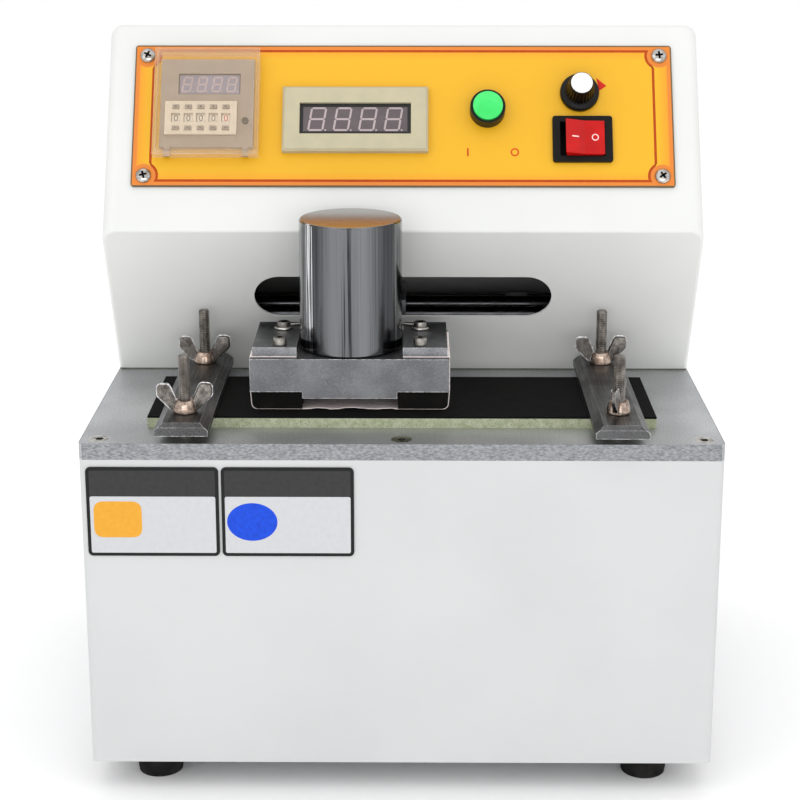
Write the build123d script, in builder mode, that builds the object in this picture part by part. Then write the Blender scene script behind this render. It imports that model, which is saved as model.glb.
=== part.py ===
"""Abrasion resistance tester: a bench machine that rubs a weighted block over a clamped specimen.

Millimetres, +Z up, +Y to the back, +X to the operator's right.
The origin is under the middle of the whole machine, on the surface that it stands on.
Setback means the distance behind the table's front edge, rise the height over the table's top.
"""

from build123d import *
import math
import os

os.makedirs("parts", exist_ok=True)

# Cabinet
cabinet_width = 320
base_height = 164.5
sheet = 1.5
flange_width = 16
base_corner_radius = 3
bottom_thickness = 2.5
seat_gap = 0.3

# Feet
foot_height = 16
foot_top_radius = 14
foot_tip_radius = 11.5
foot_inset_x = 32
foot_inset_y = 25
foot_neck_radius = 8
foot_stem_radius = 4
foot_stem_rise = 1.5

# Table
table_thickness = 8.5
sink_angle = 90
table_screw_inset_x = 9.5
table_screw_inset_y = 7.8
table_screw_radius = 3
table_screw_head_radius = 5.3
table_screw_length = 14
table_socket_radius = 2.3
table_socket_depth = 2.6

# Head: its outline seen from the side
tower_stud_gap = 30
nose_weight_gap = 3
nose_rise = 88.3
slope_depth = 56.5
crease_rise = 191.2
top_drop = 13
nose_radius = 2
crease_radius = 4
side_radius = 7
slot_length = 162
slot_width = 28
slot_up_slope = 53.3

# Case screws
case_screw_radius = 1.5
case_screw_head_radius = 3
case_screw_head_height = 1.8
case_screw_length = 6
case_screw_inset = 10
case_cross_width = 0.9
case_cross_depth = 1

# Yellow control plate
plate_width = 290
plate_height = 80.4
plate_thickness = 1.5
plate_up_slope = 64.6
plate_corner_radius = 1.5
plate_screw_inset_x = 6.7
plate_screw_inset_y = 6
plate_screw_radius = 2
plate_screw_head_radius = 4.2
plate_screw_head_height = 2.4
plate_screw_taper = 30
plate_screw_length = 10
plate_cross_width = 1.2
plate_cross_depth = 1.4
window_margin = 11.5

# Specimen platen
platen_width = 258
platen_front_gap = 10.2
platen_rear_gap = 2.8
glass_thickness = 5
mat_thickness = 1

# Specimen clamps
bar_x = 108
bar_width = 26.5
bar_thickness = 6.5
bar_end_length = 41
bar_bevel_width = 4
bar_bevel_height = 3.5
bar_end_bevel = 2
left_overhang = 7
right_overhang = 10
stud_radius = 3
stud_front_setback = 13
stud_spacing = 91
stud_rise = 42
stud_chamfer = 0.6
bar_slot_clearance = 0.4
bar_slot_length = 10

# Wing nuts
nut_hub_radius = 6
nut_hub_top_radius = 4.8
nut_hub_height = 6.5
nut_bore_clearance = 0.08
wing_span = 27
wing_height = 14.5
wing_thickness = 2.4
wing_root_height = 1.5
wing_tip_width = 7
wing_tip_height = 6
wing_inner_reach = 4
wing_round = 2.4
turned_nut_angle = 72

# Reciprocating drive
stroke = 60
rest_position = -26.6
rod_tower_gap = 7
rod_spacing = 25
rod_rise = 30
rod_radius = 5
support_side_gap = 17.5
support_thickness = 14
support_margin = 8
support_top_margin = 7
support_foot_rise = 12
support_shoulder_rise = 22
carriage_length = 56
carriage_margin = 11
carriage_bottom_rise = 19
carriage_top_rise = 41
bushing_radius = 7
bushing_length = 15
running_clearance = 0.05
crank_inset = 39
crank_rod_gap = 34
crank_back_gap = 14
crank_disc_radius = 36
crank_disc_rise = 6
crank_disc_thickness = 8
crank_hub_radius = 12
crank_hub_height = 3
shaft_radius = 5
shaft_bore_clearance = 1.5
shaft_depth = 30
link_rise = 15.8
link_thickness = 6
link_width = 12
link_eye_radius = 9
pin_radius = 4
pin_head_radius = 6.5
pin_head_height = 2.5
pin_disc_gap = 0.3
wrist_offset = -15
lug_width = 24
lug_thickness = 8
lug_gap = 0.5

# Drive arm and fork
arm_width = 30
arm_thickness = 8
arm_block_gap = 1
arm_rear_margin = 5
arm_screw_spacing = 16
arm_screw_radius = 2.5
arm_screw_head_radius = 4.25
arm_screw_head_height = 5
arm_screw_depth = 12
arm_socket_radius = 2
arm_socket_depth = 2.5
fork_clearance = 0.15

# Gear motor
gearbox_width = 64
gearbox_height = 40
gearbox_corner_radius = 4
motor_radius = 31
motor_length = 92
motor_rim_radius = 3
motor_screw_radius = 2.5
motor_screw_head_radius = 4.6
motor_screw_length = 18
motor_screw_inset = 7

# Friction block
block_length = 101.6
block_depth = 58
block_offset = 0.3
block_top_rise = 34
block_end_height = 17.3
block_middle_height = 20.8
pad_length = 25.4
pad_depth = 50.8
pad_inset = 0.8
pad_round = 3
pad_side_gap = 0.4
strip_thickness = 0.4
strip_width = 50
strip_rest_gap = 0.3
clamp_plate_length = 22.7
clamp_plate_depth = 52
clamp_plate_thickness = 4.5
clamp_plate_inset = 1
clamp_plate_front = 4.5
block_screw_radius = 2
block_screw_head_radius = 3.5
block_screw_head_height = 4
block_screw_depth = 10
block_socket_radius = 1.7
block_socket_depth = 2
block_screw_x = 36
block_screw_front = 6
block_screw_spacing = 32
bracket_width = 40
bracket_thickness = 4
bracket_leg_height = 16
bracket_reach = 13.5
drive_pin_radius = 3
drive_pin_rise = 52
drive_pin_edge = 6
drive_pin_chamfer = 0.6
bail_wire = 1.5
bail_gap = 1.2
bail_eye_gap = 0.05

# Load weight
weight_radius = 26.5
weight_height = 67.5
weight_offset = 1.5
weight_chamfer = 0.8

# Counter
counter_x = -105
counter_up_slope = 70
counter_frame_size = 50
counter_frame_thickness = 4
counter_case_size = 45
counter_case_depth = 58
counter_window_width = 33.2
counter_window_height = 11.8
counter_window_x = 1
counter_window_y = 11
counter_window_depth = 1.2
switch_block_width = 38.4
switch_block_height = 18.7
switch_block_proud = 2
switch_block_x = -3
switch_block_y = -8.9
switch_wall = 1.2
switch_side_wall = 1.5
switch_cavity_depth = 20
digit_count = 5
digit_pitch = 6.7
digit_window_width = 4.8
digit_window_height = 5.2
key_row_offset = 6
key_width = 3.4
key_height = 2.2
key_proud = 0.8
key_length = 3.2
key_gap = 0.15
wheel_radius = 7
wheel_width = 4.4
wheel_axle_radius = 1.5
wheel_axle_overlap = 1
wheel_rim_gap = 0.2
reset_x = 20.7
reset_y = -10.1
reset_radius = 1.8
reset_proud = 1
reset_depth = 6
reset_travel = 0.8
reset_gap = 0.08

# Counter's hinged cover
cover_width = 56
cover_top = 29.5
cover_height = 9.5
cover_wall = 1.2
cover_plate_gap = 0.3
cover_axis_drop = 27.9
cover_barrel_radius = 2.5
cover_pin_radius = 1
cover_pin_clearance = 0.05
cover_lug_x = 21
cover_lug_width = 3
cover_lug_radius = 2.1
cover_lug_gap = 0.3

# Tachometer
tacho_x = -25.5
tacho_up_slope = 61.3
tacho_width = 78
tacho_height = 36.5
tacho_thickness = 5
tacho_bevel = 1.2
tacho_window_width = 59.6
tacho_window_height = 17.6
tacho_window_depth = 2.2
tacho_case_width = 70
tacho_case_height = 30
tacho_case_depth = 42
cutout_gap = 0.25

# Start button
button_x = 45.3
button_up_slope = 67
button_collar_radius = 9.4
button_collar_height = 8
button_floor = 0.8
button_radius = 7.9
button_gap = 0.1
button_cap_bottom = 5
button_cap_top = 11
button_dome_height = 1.4
button_case_radius = 7.8
button_case_depth = 26

# Speed control
speed_x = 94.8
speed_up_slope = 76.9
knob_base_radius = 10.5
knob_base_height = 4
knob_body_radius = 7.6
knob_top_radius = 6.2
knob_height = 16
knob_plate_gap = 0.5
knob_flute_count = 24
knob_flute_radius = 0.6
knob_cap_radius = 5.7
knob_cap_height = 0.5
knob_stem_radius = 3
knob_stem_length = 12
knob_stem_end_gap = 0.3
knob_stem_clearance = 0.06
control_bushing_radius = 4.5
control_bushing_gap = 0.4
control_can_radius = 12
control_can_depth = 12.5

# Power switch
switch_x = 96
switch_up_slope = 50.8
switch_bezel_width = 32
switch_bezel_height = 25.8
switch_bezel_thickness = 2.2
switch_bezel_radius = 1.5
switch_window_half = 12
switch_window_height = 19.4
switch_case_width = 28.4
switch_case_height = 21.6
switch_case_depth = 18
switch_case_cavity = 12
rocker_half_width = 10.6
rocker_height = 18.8
rocker_rise = 6.4
rocker_dip = 5
rocker_bottom_half = 7
rocker_bottom_depth = 4
rocker_pivot_depth = 0.5
rocker_pin_radius = 1
rocker_pin_reach = 0.8
rocker_angle = 10

# Power inlet in the back
inlet_x = 40
inlet_height = 52
inlet_flange_width = 31
inlet_flange_height = 24.5
inlet_flange = 3
inlet_body_width = 27
inlet_body_height = 19.8
inlet_body_depth = 24
inlet_recess_width = 23
inlet_recess_height = 16
inlet_recess_depth = 16
inlet_blade_width = 4
inlet_blade_thickness = 2
inlet_blade_length = 12
inlet_blade_pitch = 7
inlet_blade_offset = 2.5

# Ventilation in the back
vent_count = 7
vent_pitch = 8
vent_length = 60
vent_width = 3
vent_x = -80
vent_height = 70

# Name plates on the front
label_width = 66
label_height = 46.8
label_thickness = 0.8
label_radius = 2.5
label_gap = 1.3
label_left_x = -156.9
label_drop = 3.6

# Speed controller board and stroke sensor
board_width = 120
board_depth = 80
board_thickness = 1.6
board_standoff = 8
board_x = -70
board_setback = 120
board_transformer = 42
board_capacitor_radius = 9
board_capacitor_height = 25
standoff_radius = 3.5
board_hole_inset = 6
sensor_width = 18
sensor_depth = 12
sensor_height = 14
sensor_mouth = 5
sensor_gap = 1
flag_length = 4
flag_width = 6
flag_thickness = 2

# Derived places
stud_rear_setback = stud_front_setback + stud_spacing
platen_setback = stud_front_setback + stud_radius + platen_front_gap
platen_depth = stud_rear_setback - stud_radius - platen_rear_gap - platen_setback
platen_centre = platen_setback + platen_depth / 2
bar_length = stud_spacing + bar_end_length
block_setback = platen_centre + block_offset - block_depth / 2
block_rear = block_setback + block_depth
weight_setback = block_setback + block_depth / 2 - weight_offset
arm_front_setback = block_rear + arm_block_gap
tower_setback = stud_rear_setback + tower_stud_gap
nose_setback = weight_setback + weight_radius + nose_weight_gap
crease_setback = nose_setback + slope_depth
rod_setback_front = tower_setback + rod_tower_gap
rod_setback_rear = rod_setback_front + rod_spacing
crank_setback = rod_setback_rear + crank_rod_gap
cabinet_depth = crank_setback + crank_disc_radius + crank_back_gap
overall_depth = right_overhang + cabinet_depth + inlet_flange
front_y = right_overhang - overall_depth / 2
base_top = foot_height + base_height
table_z = base_top + table_thickness
shell_depth = cabinet_depth - sheet
top_rear_rise = crease_rise - top_drop
inner_width = cabinet_width - 2 * sheet
support_x = inner_width / 2 - support_side_gap - support_thickness / 2
crank_x = support_x - crank_inset
link_length = crank_x - wrist_offset
mat_rise = glass_thickness + mat_thickness
slope_angle = math.atan2(crease_setback - nose_setback, crease_rise - nose_rise)
lean_angle = math.atan2(nose_setback - tower_setback, nose_rise)


def over_table(rise):
    """Level plane at a rise over the table, with its origin on the table's front edge."""
    return Plane(origin=(0, front_y, table_z + rise))


def over_floor(height):
    """Level plane at a height over the floor, with its origin above the table's front edge."""
    return Plane(origin=(0, front_y, height))


def on_slope(depth):
    """Plane along the head's upper front, its origin on the nose and its y up the slope."""
    outward = (0, -math.cos(slope_angle), math.sin(slope_angle))
    nose = (0, front_y + nose_setback, table_z + nose_rise)
    return Plane(origin=nose, x_dir=(1, 0, 0), z_dir=outward).offset(depth)


def on_lean(depth):
    """Plane along the head's lower front, its origin on the table and its y up the panel."""
    outward = (0, -math.cos(lean_angle), math.sin(lean_angle))
    foot = (0, front_y + tower_setback, table_z)
    return Plane(origin=foot, x_dir=(1, 0, 0), z_dir=outward).offset(depth)


def on_back(depth):
    """Plane on the cabinet's back, x to the right seen from the front, its z pointing forward."""
    back = Plane(origin=(0, front_y + cabinet_depth, 0), x_dir=(1, 0, 0), z_dir=(0, -1, 0))
    return back.offset(depth)


def side_plane(x):
    """Upright plane across the machine's width at x, its x the setback and its y the rise."""
    return Plane(origin=(x, front_y, table_z), x_dir=(0, 1, 0), z_dir=(1, 0, 0))


def front_plane(x, setback):
    """Upright plane facing forward at x and a setback, its x to the right and its y the rise."""
    return Plane(origin=(x, front_y + setback, table_z), x_dir=(1, 0, 0), z_dir=(0, -1, 0))


def across_slope(x, up_slope, depth):
    """Plane square to the upper front at a place on it, its x to the right and its y outward."""
    place = on_slope(depth).from_local_coords((x, up_slope, 0))
    return Plane(origin=place, x_dir=(1, 0, 0), z_dir=on_slope(0).y_dir * -1)


def along_slope(x, up_slope):
    """Plane square to the machine's width at a place on the upper front, its y outward."""
    place = on_slope(0).from_local_coords((x, up_slope, 0))
    return Plane(origin=place, x_dir=on_slope(0).y_dir, z_dir=(1, 0, 0))


def turned(plane, x, y, angle):
    """The plane moved to a place on it and turned there."""
    return Plane(plane.location * Location((x, y, 0), (0, 0, angle)))


# Where the case screws sit: the four corners of each back panel and of the bottom
case_x = cabinet_width / 2 - case_screw_inset
base_back_points = [
    (x, z)
    for x in (-case_x, case_x)
    for z in (foot_height + case_screw_inset, base_top - case_screw_inset)
]
head_back_points = [
    (x, z)
    for x in (-case_x, case_x)
    for z in (table_z + case_screw_inset, table_z + top_rear_rise - 2 * case_screw_inset)
]
bottom_points = [
    (x, y)
    for x in (-case_x, case_x)
    for y in (case_screw_inset, cabinet_depth - sheet - case_screw_inset)
]
table_screw_x = cabinet_width / 2 - table_screw_inset_x
table_screw_points = [
    (-table_screw_x, table_screw_inset_y),
    (0, table_screw_inset_y),
    (table_screw_x, table_screw_inset_y),
    (-table_screw_x, shell_depth - table_screw_inset_y),
    (table_screw_x, shell_depth - table_screw_inset_y),
]
foot_x = cabinet_width / 2 - foot_inset_x
foot_points = [
    (x, y) for x in (-foot_x, foot_x) for y in (foot_inset_y, shell_depth - foot_inset_y)
]

# Base cover: front and sides in one folded sheet, with flanges at its top, bottom and back
with BuildPart() as base_cover:
    with BuildSketch(over_floor(foot_height)):
        with Locations((0, shell_depth / 2)):
            Rectangle(cabinet_width, shell_depth)
    extrude(amount=base_height)
    front_corners = base_cover.edges().filter_by(Axis.Z).group_by(Axis.Y)[0]
    fillet(front_corners, radius=base_corner_radius)
    with BuildSketch(over_floor(foot_height + sheet)):
        with Locations((0, shell_depth / 2)):
            Rectangle(cabinet_width - 2 * sheet, shell_depth - 2 * sheet)
    extrude(amount=base_height - 2 * sheet, mode=Mode.SUBTRACT)
    with BuildSketch(over_floor(foot_height)):
        with Locations((0, shell_depth / 2)):
            Rectangle(cabinet_width - 2 * flange_width, shell_depth - 2 * flange_width)
    extrude(amount=base_height, mode=Mode.SUBTRACT)
    with BuildSketch(on_back(sheet)):
        with Locations((0, foot_height + base_height / 2)):
            Rectangle(cabinet_width - 2 * flange_width, base_height - 2 * flange_width)
    extrude(amount=flange_width, mode=Mode.SUBTRACT)
    with BuildSketch(on_back(sheet)):
        with Locations(*base_back_points):
            Circle(case_screw_radius)
    extrude(amount=sheet, mode=Mode.SUBTRACT)
    with BuildSketch(over_floor(foot_height)):
        with Locations(*bottom_points):
            Circle(case_screw_radius)
    extrude(amount=sheet, mode=Mode.SUBTRACT)
    with BuildSketch(over_floor(base_top - sheet)):
        with Locations(*table_screw_points):
            Circle(table_screw_radius)
    extrude(amount=sheet, mode=Mode.SUBTRACT)
base_cover.part.label = "base_cover"
export_step(base_cover.part, "parts/base_cover.step")

# Bottom plate: lies on the bottom flange, with pressed-in standoffs for the controller board
board_hole_x = board_width / 2 - board_hole_inset
board_hole_y = board_depth / 2 - board_hole_inset
board_holes = [
    (board_x + x, board_setback + y)
    for x in (-board_hole_x, board_hole_x)
    for y in (-board_hole_y, board_hole_y)
]
bottom_z = foot_height + sheet
with BuildPart() as bottom_plate:
    with BuildSketch(over_floor(bottom_z)):
        with Locations((0, shell_depth / 2)):
            Rectangle(
                cabinet_width - 2 * sheet - 2 * seat_gap, shell_depth - 2 * sheet - 2 * seat_gap
            )
    extrude(amount=bottom_thickness)
    with BuildSketch(over_floor(bottom_z)):
        with Locations(*foot_points):
            Circle(foot_stem_radius)
        with Locations(*bottom_points):
            Circle(case_screw_radius)
    extrude(amount=bottom_thickness, mode=Mode.SUBTRACT)
    with BuildSketch(over_floor(bottom_z + bottom_thickness)):
        with Locations(*board_holes):
            Circle(standoff_radius)
    extrude(amount=board_standoff)
bottom_plate.part.label = "bottom_plate"
export_step(bottom_plate.part, "parts/bottom_plate.step")

# Base rear panel: a flat sheet over the rear flanges, with the inlet's opening and air slots
with BuildPart() as base_rear_panel:
    with BuildSketch(on_back(0)):
        with Locations((0, foot_height + base_height / 2)):
            Rectangle(cabinet_width, base_height)
        with Locations((inlet_x, foot_height + inlet_height)):
            Rectangle(
                inlet_body_width + 2 * cutout_gap,
                inlet_body_height + 2 * cutout_gap,
                mode=Mode.SUBTRACT,
            )
        with Locations((vent_x, foot_height + vent_height)):
            with GridLocations(0, vent_pitch, 1, vent_count):
                SlotOverall(vent_length, vent_width, mode=Mode.SUBTRACT)
        with Locations(*base_back_points):
            Circle(case_screw_radius, mode=Mode.SUBTRACT)
    extrude(amount=sheet)
base_rear_panel.part.label = "base_rear_panel"
export_step(base_rear_panel.part, "parts/base_rear_panel.step")

# Table plate: a thick ground plate that carries the head, the platen and the drive
stud_points = [
    (side * bar_x, setback)
    for side in (-1, 1)
    for setback in (stud_front_setback, stud_rear_setback)
]
motor_screw_reach = gearbox_width / 2 - motor_screw_inset
motor_screw_points = [
    (crank_x + x, crank_setback + y)
    for x in (-motor_screw_reach, motor_screw_reach)
    for y in (-motor_screw_reach, motor_screw_reach)
]
with BuildPart(over_table(0)) as table_plate:
    with BuildSketch(over_table(-table_thickness)):
        with Locations((0, cabinet_depth / 2)):
            Rectangle(cabinet_width, cabinet_depth)
    extrude(amount=table_thickness)
    table_corners = table_plate.edges().filter_by(Axis.Z).group_by(Axis.Y)[0]
    fillet(table_corners, radius=base_corner_radius)
    with Locations(*table_screw_points):
        CounterSinkHole(
            table_screw_radius, table_screw_head_radius, counter_sink_angle=sink_angle
        )
    with Locations(*motor_screw_points):
        CounterSinkHole(
            motor_screw_radius, motor_screw_head_radius, counter_sink_angle=sink_angle
        )
    with Locations(*stud_points):
        Hole(stud_radius)
    with Locations((crank_x, crank_setback)):
        Hole(shaft_radius + shaft_bore_clearance)
table_plate.part.label = "table_plate"
export_step(table_plate.part, "parts/table_plate.step")

# Table screws: countersunk, with a hexagon socket
table_sink_depth = table_screw_head_radius - table_screw_radius
with BuildPart(over_table(-table_sink_depth)) as table_screws:
    with BuildSketch(over_table(-table_screw_length)):
        with Locations(*table_screw_points):
            Circle(table_screw_radius)
    extrude(amount=table_screw_length)
    with Locations(*table_screw_points):
        Cone(
            table_screw_radius,
            table_screw_head_radius,
            table_sink_depth,
            align=(Align.CENTER, Align.CENTER, Align.MIN),
        )
    with BuildSketch(over_table(-table_socket_depth)):
        with Locations(*table_screw_points):
            RegularPolygon(table_socket_radius, 6)
    extrude(amount=table_socket_depth, mode=Mode.SUBTRACT)
table_screws.part.label = "table_screws"
export_step(table_screws.part, "parts/table_screws.step")

# The room inside the head: its outline less the sheet, with the same bends
head_outline = [
    (tower_setback, 0),
    (nose_setback, nose_rise),
    (crease_setback, crease_rise),
    (shell_depth, top_rear_rise),
    (shell_depth, 0),
]


def round_head(builder, width, inset):
    """Rounds a head shape's crease, then its upper side edges, then its nose."""
    crease = builder.edges().filter_by(Axis.X).group_by(Axis.Z)[-1]
    fillet(crease, radius=crease_radius - inset)
    side_lines = builder.edges().filter_by(
        lambda edge: edge.geom_type == GeomType.LINE
        and abs(abs(edge.center().X) - width / 2) < seat_gap
        and edge.center().Z > table_z + nose_rise
    )
    fillet(side_lines.filter_by(Axis.Z, reverse=True), radius=side_radius - inset)
    nose = builder.edges().filter_by(Axis.X).group_by(Axis.Y)[0]
    fillet(nose, radius=nose_radius - inset)


with BuildPart() as head_room:
    with BuildSketch(side_plane(0)):
        with BuildLine():
            Polyline(*head_outline, close=True)
        make_face()
        offset(amount=-sheet, kind=Kind.INTERSECTION)
    extrude(amount=inner_width / 2, both=True)
    round_head(head_room, inner_width, sheet)

panel_screw_x = plate_width / 2 - plate_screw_inset_x
panel_screw_y = plate_height / 2 - plate_screw_inset_y
panel_screw_points = [
    (x, plate_up_slope + y)
    for x in (-panel_screw_x, panel_screw_x)
    for y in (-panel_screw_y, panel_screw_y)
]
counter_opening = counter_case_size + 2 * cutout_gap
tacho_opening_width = tacho_case_width + 2 * cutout_gap
tacho_opening_height = tacho_case_height + 2 * cutout_gap
switch_opening_width = switch_case_width + 2 * cutout_gap
switch_opening_height = switch_case_height + 2 * cutout_gap


# Head cover: a bent shell with flanges below and behind, the arm's slot and a window for the panel
room_start = tower_setback + flange_width
room_end = shell_depth - flange_width
with BuildPart() as head_cover:
    with BuildSketch(side_plane(0)):
        with BuildLine():
            Polyline(*head_outline, close=True)
        make_face()
    extrude(amount=cabinet_width / 2, both=True)
    round_head(head_cover, cabinet_width, 0)
    add(head_room.part, mode=Mode.SUBTRACT)
    with BuildSketch(over_table(0)):
        with Locations((0, (room_start + room_end) / 2)):
            Rectangle(cabinet_width - 2 * flange_width, room_end - room_start)
    extrude(amount=sheet, mode=Mode.SUBTRACT)
    with BuildSketch(on_back(sheet)):
        with Locations((0, table_z + top_rear_rise / 2)):
            Rectangle(cabinet_width - 2 * flange_width, top_rear_rise - 2 * flange_width)
        with Locations(*head_back_points):
            Circle(case_screw_radius)
    extrude(amount=2 * sheet, mode=Mode.SUBTRACT)
    with BuildSketch(on_lean(0)):
        with Locations((0, slot_up_slope)):
            SlotOverall(slot_length, slot_width)
    extrude(amount=2 * sheet, both=True, mode=Mode.SUBTRACT)
    with BuildSketch(on_slope(0)):
        with Locations((0, plate_up_slope)):
            Rectangle(plate_width - 2 * window_margin, plate_height - 2 * window_margin)
        with Locations(*panel_screw_points):
            Circle(plate_screw_radius)
    extrude(amount=2 * sheet, both=True, mode=Mode.SUBTRACT)
head_cover.part.label = "head_cover"
export_step(head_cover.part, "parts/head_cover.step")

# Head rear panel: a flat sheet over the head's rear flange
with BuildPart() as head_rear_panel:
    with BuildSketch(on_back(0)) as head_rear_face:
        with Locations((0, table_z + top_rear_rise / 2)):
            Rectangle(cabinet_width, top_rear_rise)
        fillet(head_rear_face.vertices().group_by(Axis.Y)[-1], radius=side_radius)
        with Locations(*head_back_points):
            Circle(case_screw_radius, mode=Mode.SUBTRACT)
    extrude(amount=sheet)
head_rear_panel.part.label = "head_rear_panel"
export_step(head_rear_panel.part, "parts/head_rear_panel.step")

# Case screws: cross-recessed pan heads in the back panels and under the bottom
back_points = base_back_points + head_back_points
with BuildPart() as case_screws:
    with BuildSketch(on_back(0)):
        with Locations(*back_points):
            Circle(case_screw_radius)
    extrude(amount=case_screw_length)
    with BuildSketch(on_back(-case_screw_head_height)):
        with Locations(*back_points):
            Circle(case_screw_head_radius)
    extrude(amount=case_screw_head_height)
    with BuildSketch(on_back(-case_screw_head_height)):
        with Locations(*back_points):
            Rectangle(case_cross_width, case_screw_head_radius)
            Rectangle(case_screw_head_radius, case_cross_width)
    extrude(amount=case_cross_depth, mode=Mode.SUBTRACT)
    with BuildSketch(over_floor(foot_height)):
        with Locations(*bottom_points):
            Circle(case_screw_radius)
    extrude(amount=case_screw_length)
    with BuildSketch(over_floor(foot_height - case_screw_head_height)):
        with Locations(*bottom_points):
            Circle(case_screw_head_radius)
    extrude(amount=case_screw_head_height)
    with BuildSketch(over_floor(foot_height - case_screw_head_height)):
        with Locations(*bottom_points):
            Rectangle(case_cross_width, case_screw_head_radius)
            Rectangle(case_screw_head_radius, case_cross_width)
    extrude(amount=case_cross_depth, mode=Mode.SUBTRACT)
case_screws.part.label = "case_screws"
export_step(case_screws.part, "parts/case_screws.step")

# Feet: tapered rubber, each with a neck through the flange and a stem pushed into the bottom
with BuildPart(over_floor(0)) as feet:
    with Locations(*foot_points):
        Cone(
            foot_tip_radius,
            foot_top_radius,
            foot_height,
            align=(Align.CENTER, Align.CENTER, Align.MIN),
        )
    with BuildSketch(over_floor(foot_height)):
        with Locations(*foot_points):
            Circle(foot_neck_radius)
    extrude(amount=sheet)
    with BuildSketch(over_floor(bottom_z)):
        with Locations(*foot_points):
            Circle(foot_stem_radius)
    extrude(amount=bottom_thickness + foot_stem_rise)
feet.part.label = "feet"
export_step(feet.part, "parts/feet.step")

# Panel plate: the yellow plate that the instruments sit on
with BuildPart() as panel_plate:
    with BuildSketch(on_slope(0)):
        with Locations((0, plate_up_slope)):
            RectangleRounded(plate_width, plate_height, plate_corner_radius)
        with Locations((counter_x, counter_up_slope)):
            Rectangle(counter_opening, counter_opening, mode=Mode.SUBTRACT)
        with Locations((tacho_x, tacho_up_slope)):
            Rectangle(tacho_opening_width, tacho_opening_height, mode=Mode.SUBTRACT)
        with Locations((button_x, button_up_slope)):
            Circle(button_case_radius + cutout_gap, mode=Mode.SUBTRACT)
        with Locations((speed_x, speed_up_slope)):
            Circle(control_bushing_radius + cutout_gap, mode=Mode.SUBTRACT)
        with Locations((switch_x, switch_up_slope)):
            Rectangle(switch_opening_width, switch_opening_height, mode=Mode.SUBTRACT)
        with Locations(*panel_screw_points):
            Circle(plate_screw_radius, mode=Mode.SUBTRACT)
    extrude(amount=plate_thickness)
panel_plate.part.label = "panel_plate"
export_step(panel_plate.part, "parts/panel_plate.step")

# Panel screws: cross-recessed round heads at the plate's corners
with BuildPart() as panel_screws:
    with BuildSketch(on_slope(plate_thickness)):
        with Locations(*panel_screw_points):
            Circle(plate_screw_radius)
    extrude(amount=-plate_screw_length)
    with BuildSketch(on_slope(plate_thickness)):
        with Locations(*panel_screw_points):
            Circle(plate_screw_head_radius)
    extrude(amount=plate_screw_head_height, taper=plate_screw_taper)
    with BuildSketch(on_slope(plate_thickness + plate_screw_head_height)):
        with Locations(*panel_screw_points):
            Rectangle(plate_cross_width, plate_screw_head_radius)
            Rectangle(plate_screw_head_radius, plate_cross_width)
    extrude(amount=-plate_cross_depth, mode=Mode.SUBTRACT)
panel_screws.part.label = "panel_screws"
export_step(panel_screws.part, "parts/panel_screws.step")

# Name plates: two thin plates side by side on the front
label_rise = -table_thickness - label_drop - label_height / 2
label_x = label_left_x + label_width / 2
with BuildPart() as label_plates:
    with BuildSketch(front_plane(0, 0)):
        with Locations((label_x, label_rise), (label_x + label_width + label_gap, label_rise)):
            RectangleRounded(label_width, label_height, label_radius)
    extrude(amount=label_thickness)
label_plates.part.label = "label_plates"
export_step(label_plates.part, "parts/label_plates.step")

# Glass platen: the bed that the specimen lies over
with BuildPart() as glass_platen:
    with BuildSketch(over_table(0)):
        with Locations((0, platen_centre)):
            Rectangle(platen_width, platen_depth)
    extrude(amount=glass_thickness)
glass_platen.part.label = "glass_platen"
export_step(glass_platen.part, "parts/glass_platen.step")

# Rub mat: the thin black mat on the glass
with BuildPart() as rub_mat:
    with BuildSketch(over_table(glass_thickness)):
        with Locations((0, platen_centre)):
            Rectangle(platen_width, platen_depth)
    extrude(amount=mat_thickness)
rub_mat.part.label = "rub_mat"
export_step(rub_mat.part, "parts/rub_mat.step")

# Clamp studs: screwed into the table on both sides of the platen
with BuildPart() as clamp_studs:
    with BuildSketch(over_table(-table_thickness)):
        with Locations(*stud_points):
            Circle(stud_radius)
    extrude(amount=table_thickness + stud_rise)
    stud_tops = clamp_studs.faces().group_by(Axis.Z)[-1].edges()
    chamfer(stud_tops, length=stud_chamfer)
clamp_studs.part.label = "clamp_studs"
export_step(clamp_studs.part, "parts/clamp_studs.step")

# Clamp bars: bevelled steel bars across the platen, each slotted for its two studs
bar_half = bar_width / 2
bar_shoulder = bar_thickness - bar_bevel_height
bar_section = [
    (-bar_half, mat_rise),
    (bar_half, mat_rise),
    (bar_half, mat_rise + bar_shoulder),
    (bar_half - bar_bevel_width, mat_rise + bar_thickness),
    (bar_bevel_width - bar_half, mat_rise + bar_thickness),
    (-bar_half, mat_rise + bar_shoulder),
]
for bar_name, side, overhang in (
    ("clamp_bar_left", -1, left_overhang),
    ("clamp_bar_right", 1, right_overhang),
):
    with BuildPart() as clamp_bar:
        with BuildSketch(front_plane(side * bar_x, -overhang)):
            with BuildLine():
                Polyline(*bar_section, close=True)
            make_face()
        extrude(amount=-bar_length)
        bar_ends = clamp_bar.edges().filter_by(Axis.X).group_by(Axis.Z)[-1]
        chamfer(bar_ends, length=bar_end_bevel)
        with BuildSketch(over_table(mat_rise)):
            with Locations((side * bar_x, stud_front_setback), (side * bar_x, stud_rear_setback)):
                SlotOverall(bar_slot_length, 2 * (stud_radius + bar_slot_clearance), rotation=90)
        extrude(amount=bar_thickness, mode=Mode.SUBTRACT)
    clamp_bar.part.label = bar_name
    export_step(clamp_bar.part, f"parts/{bar_name}.step")

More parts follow.
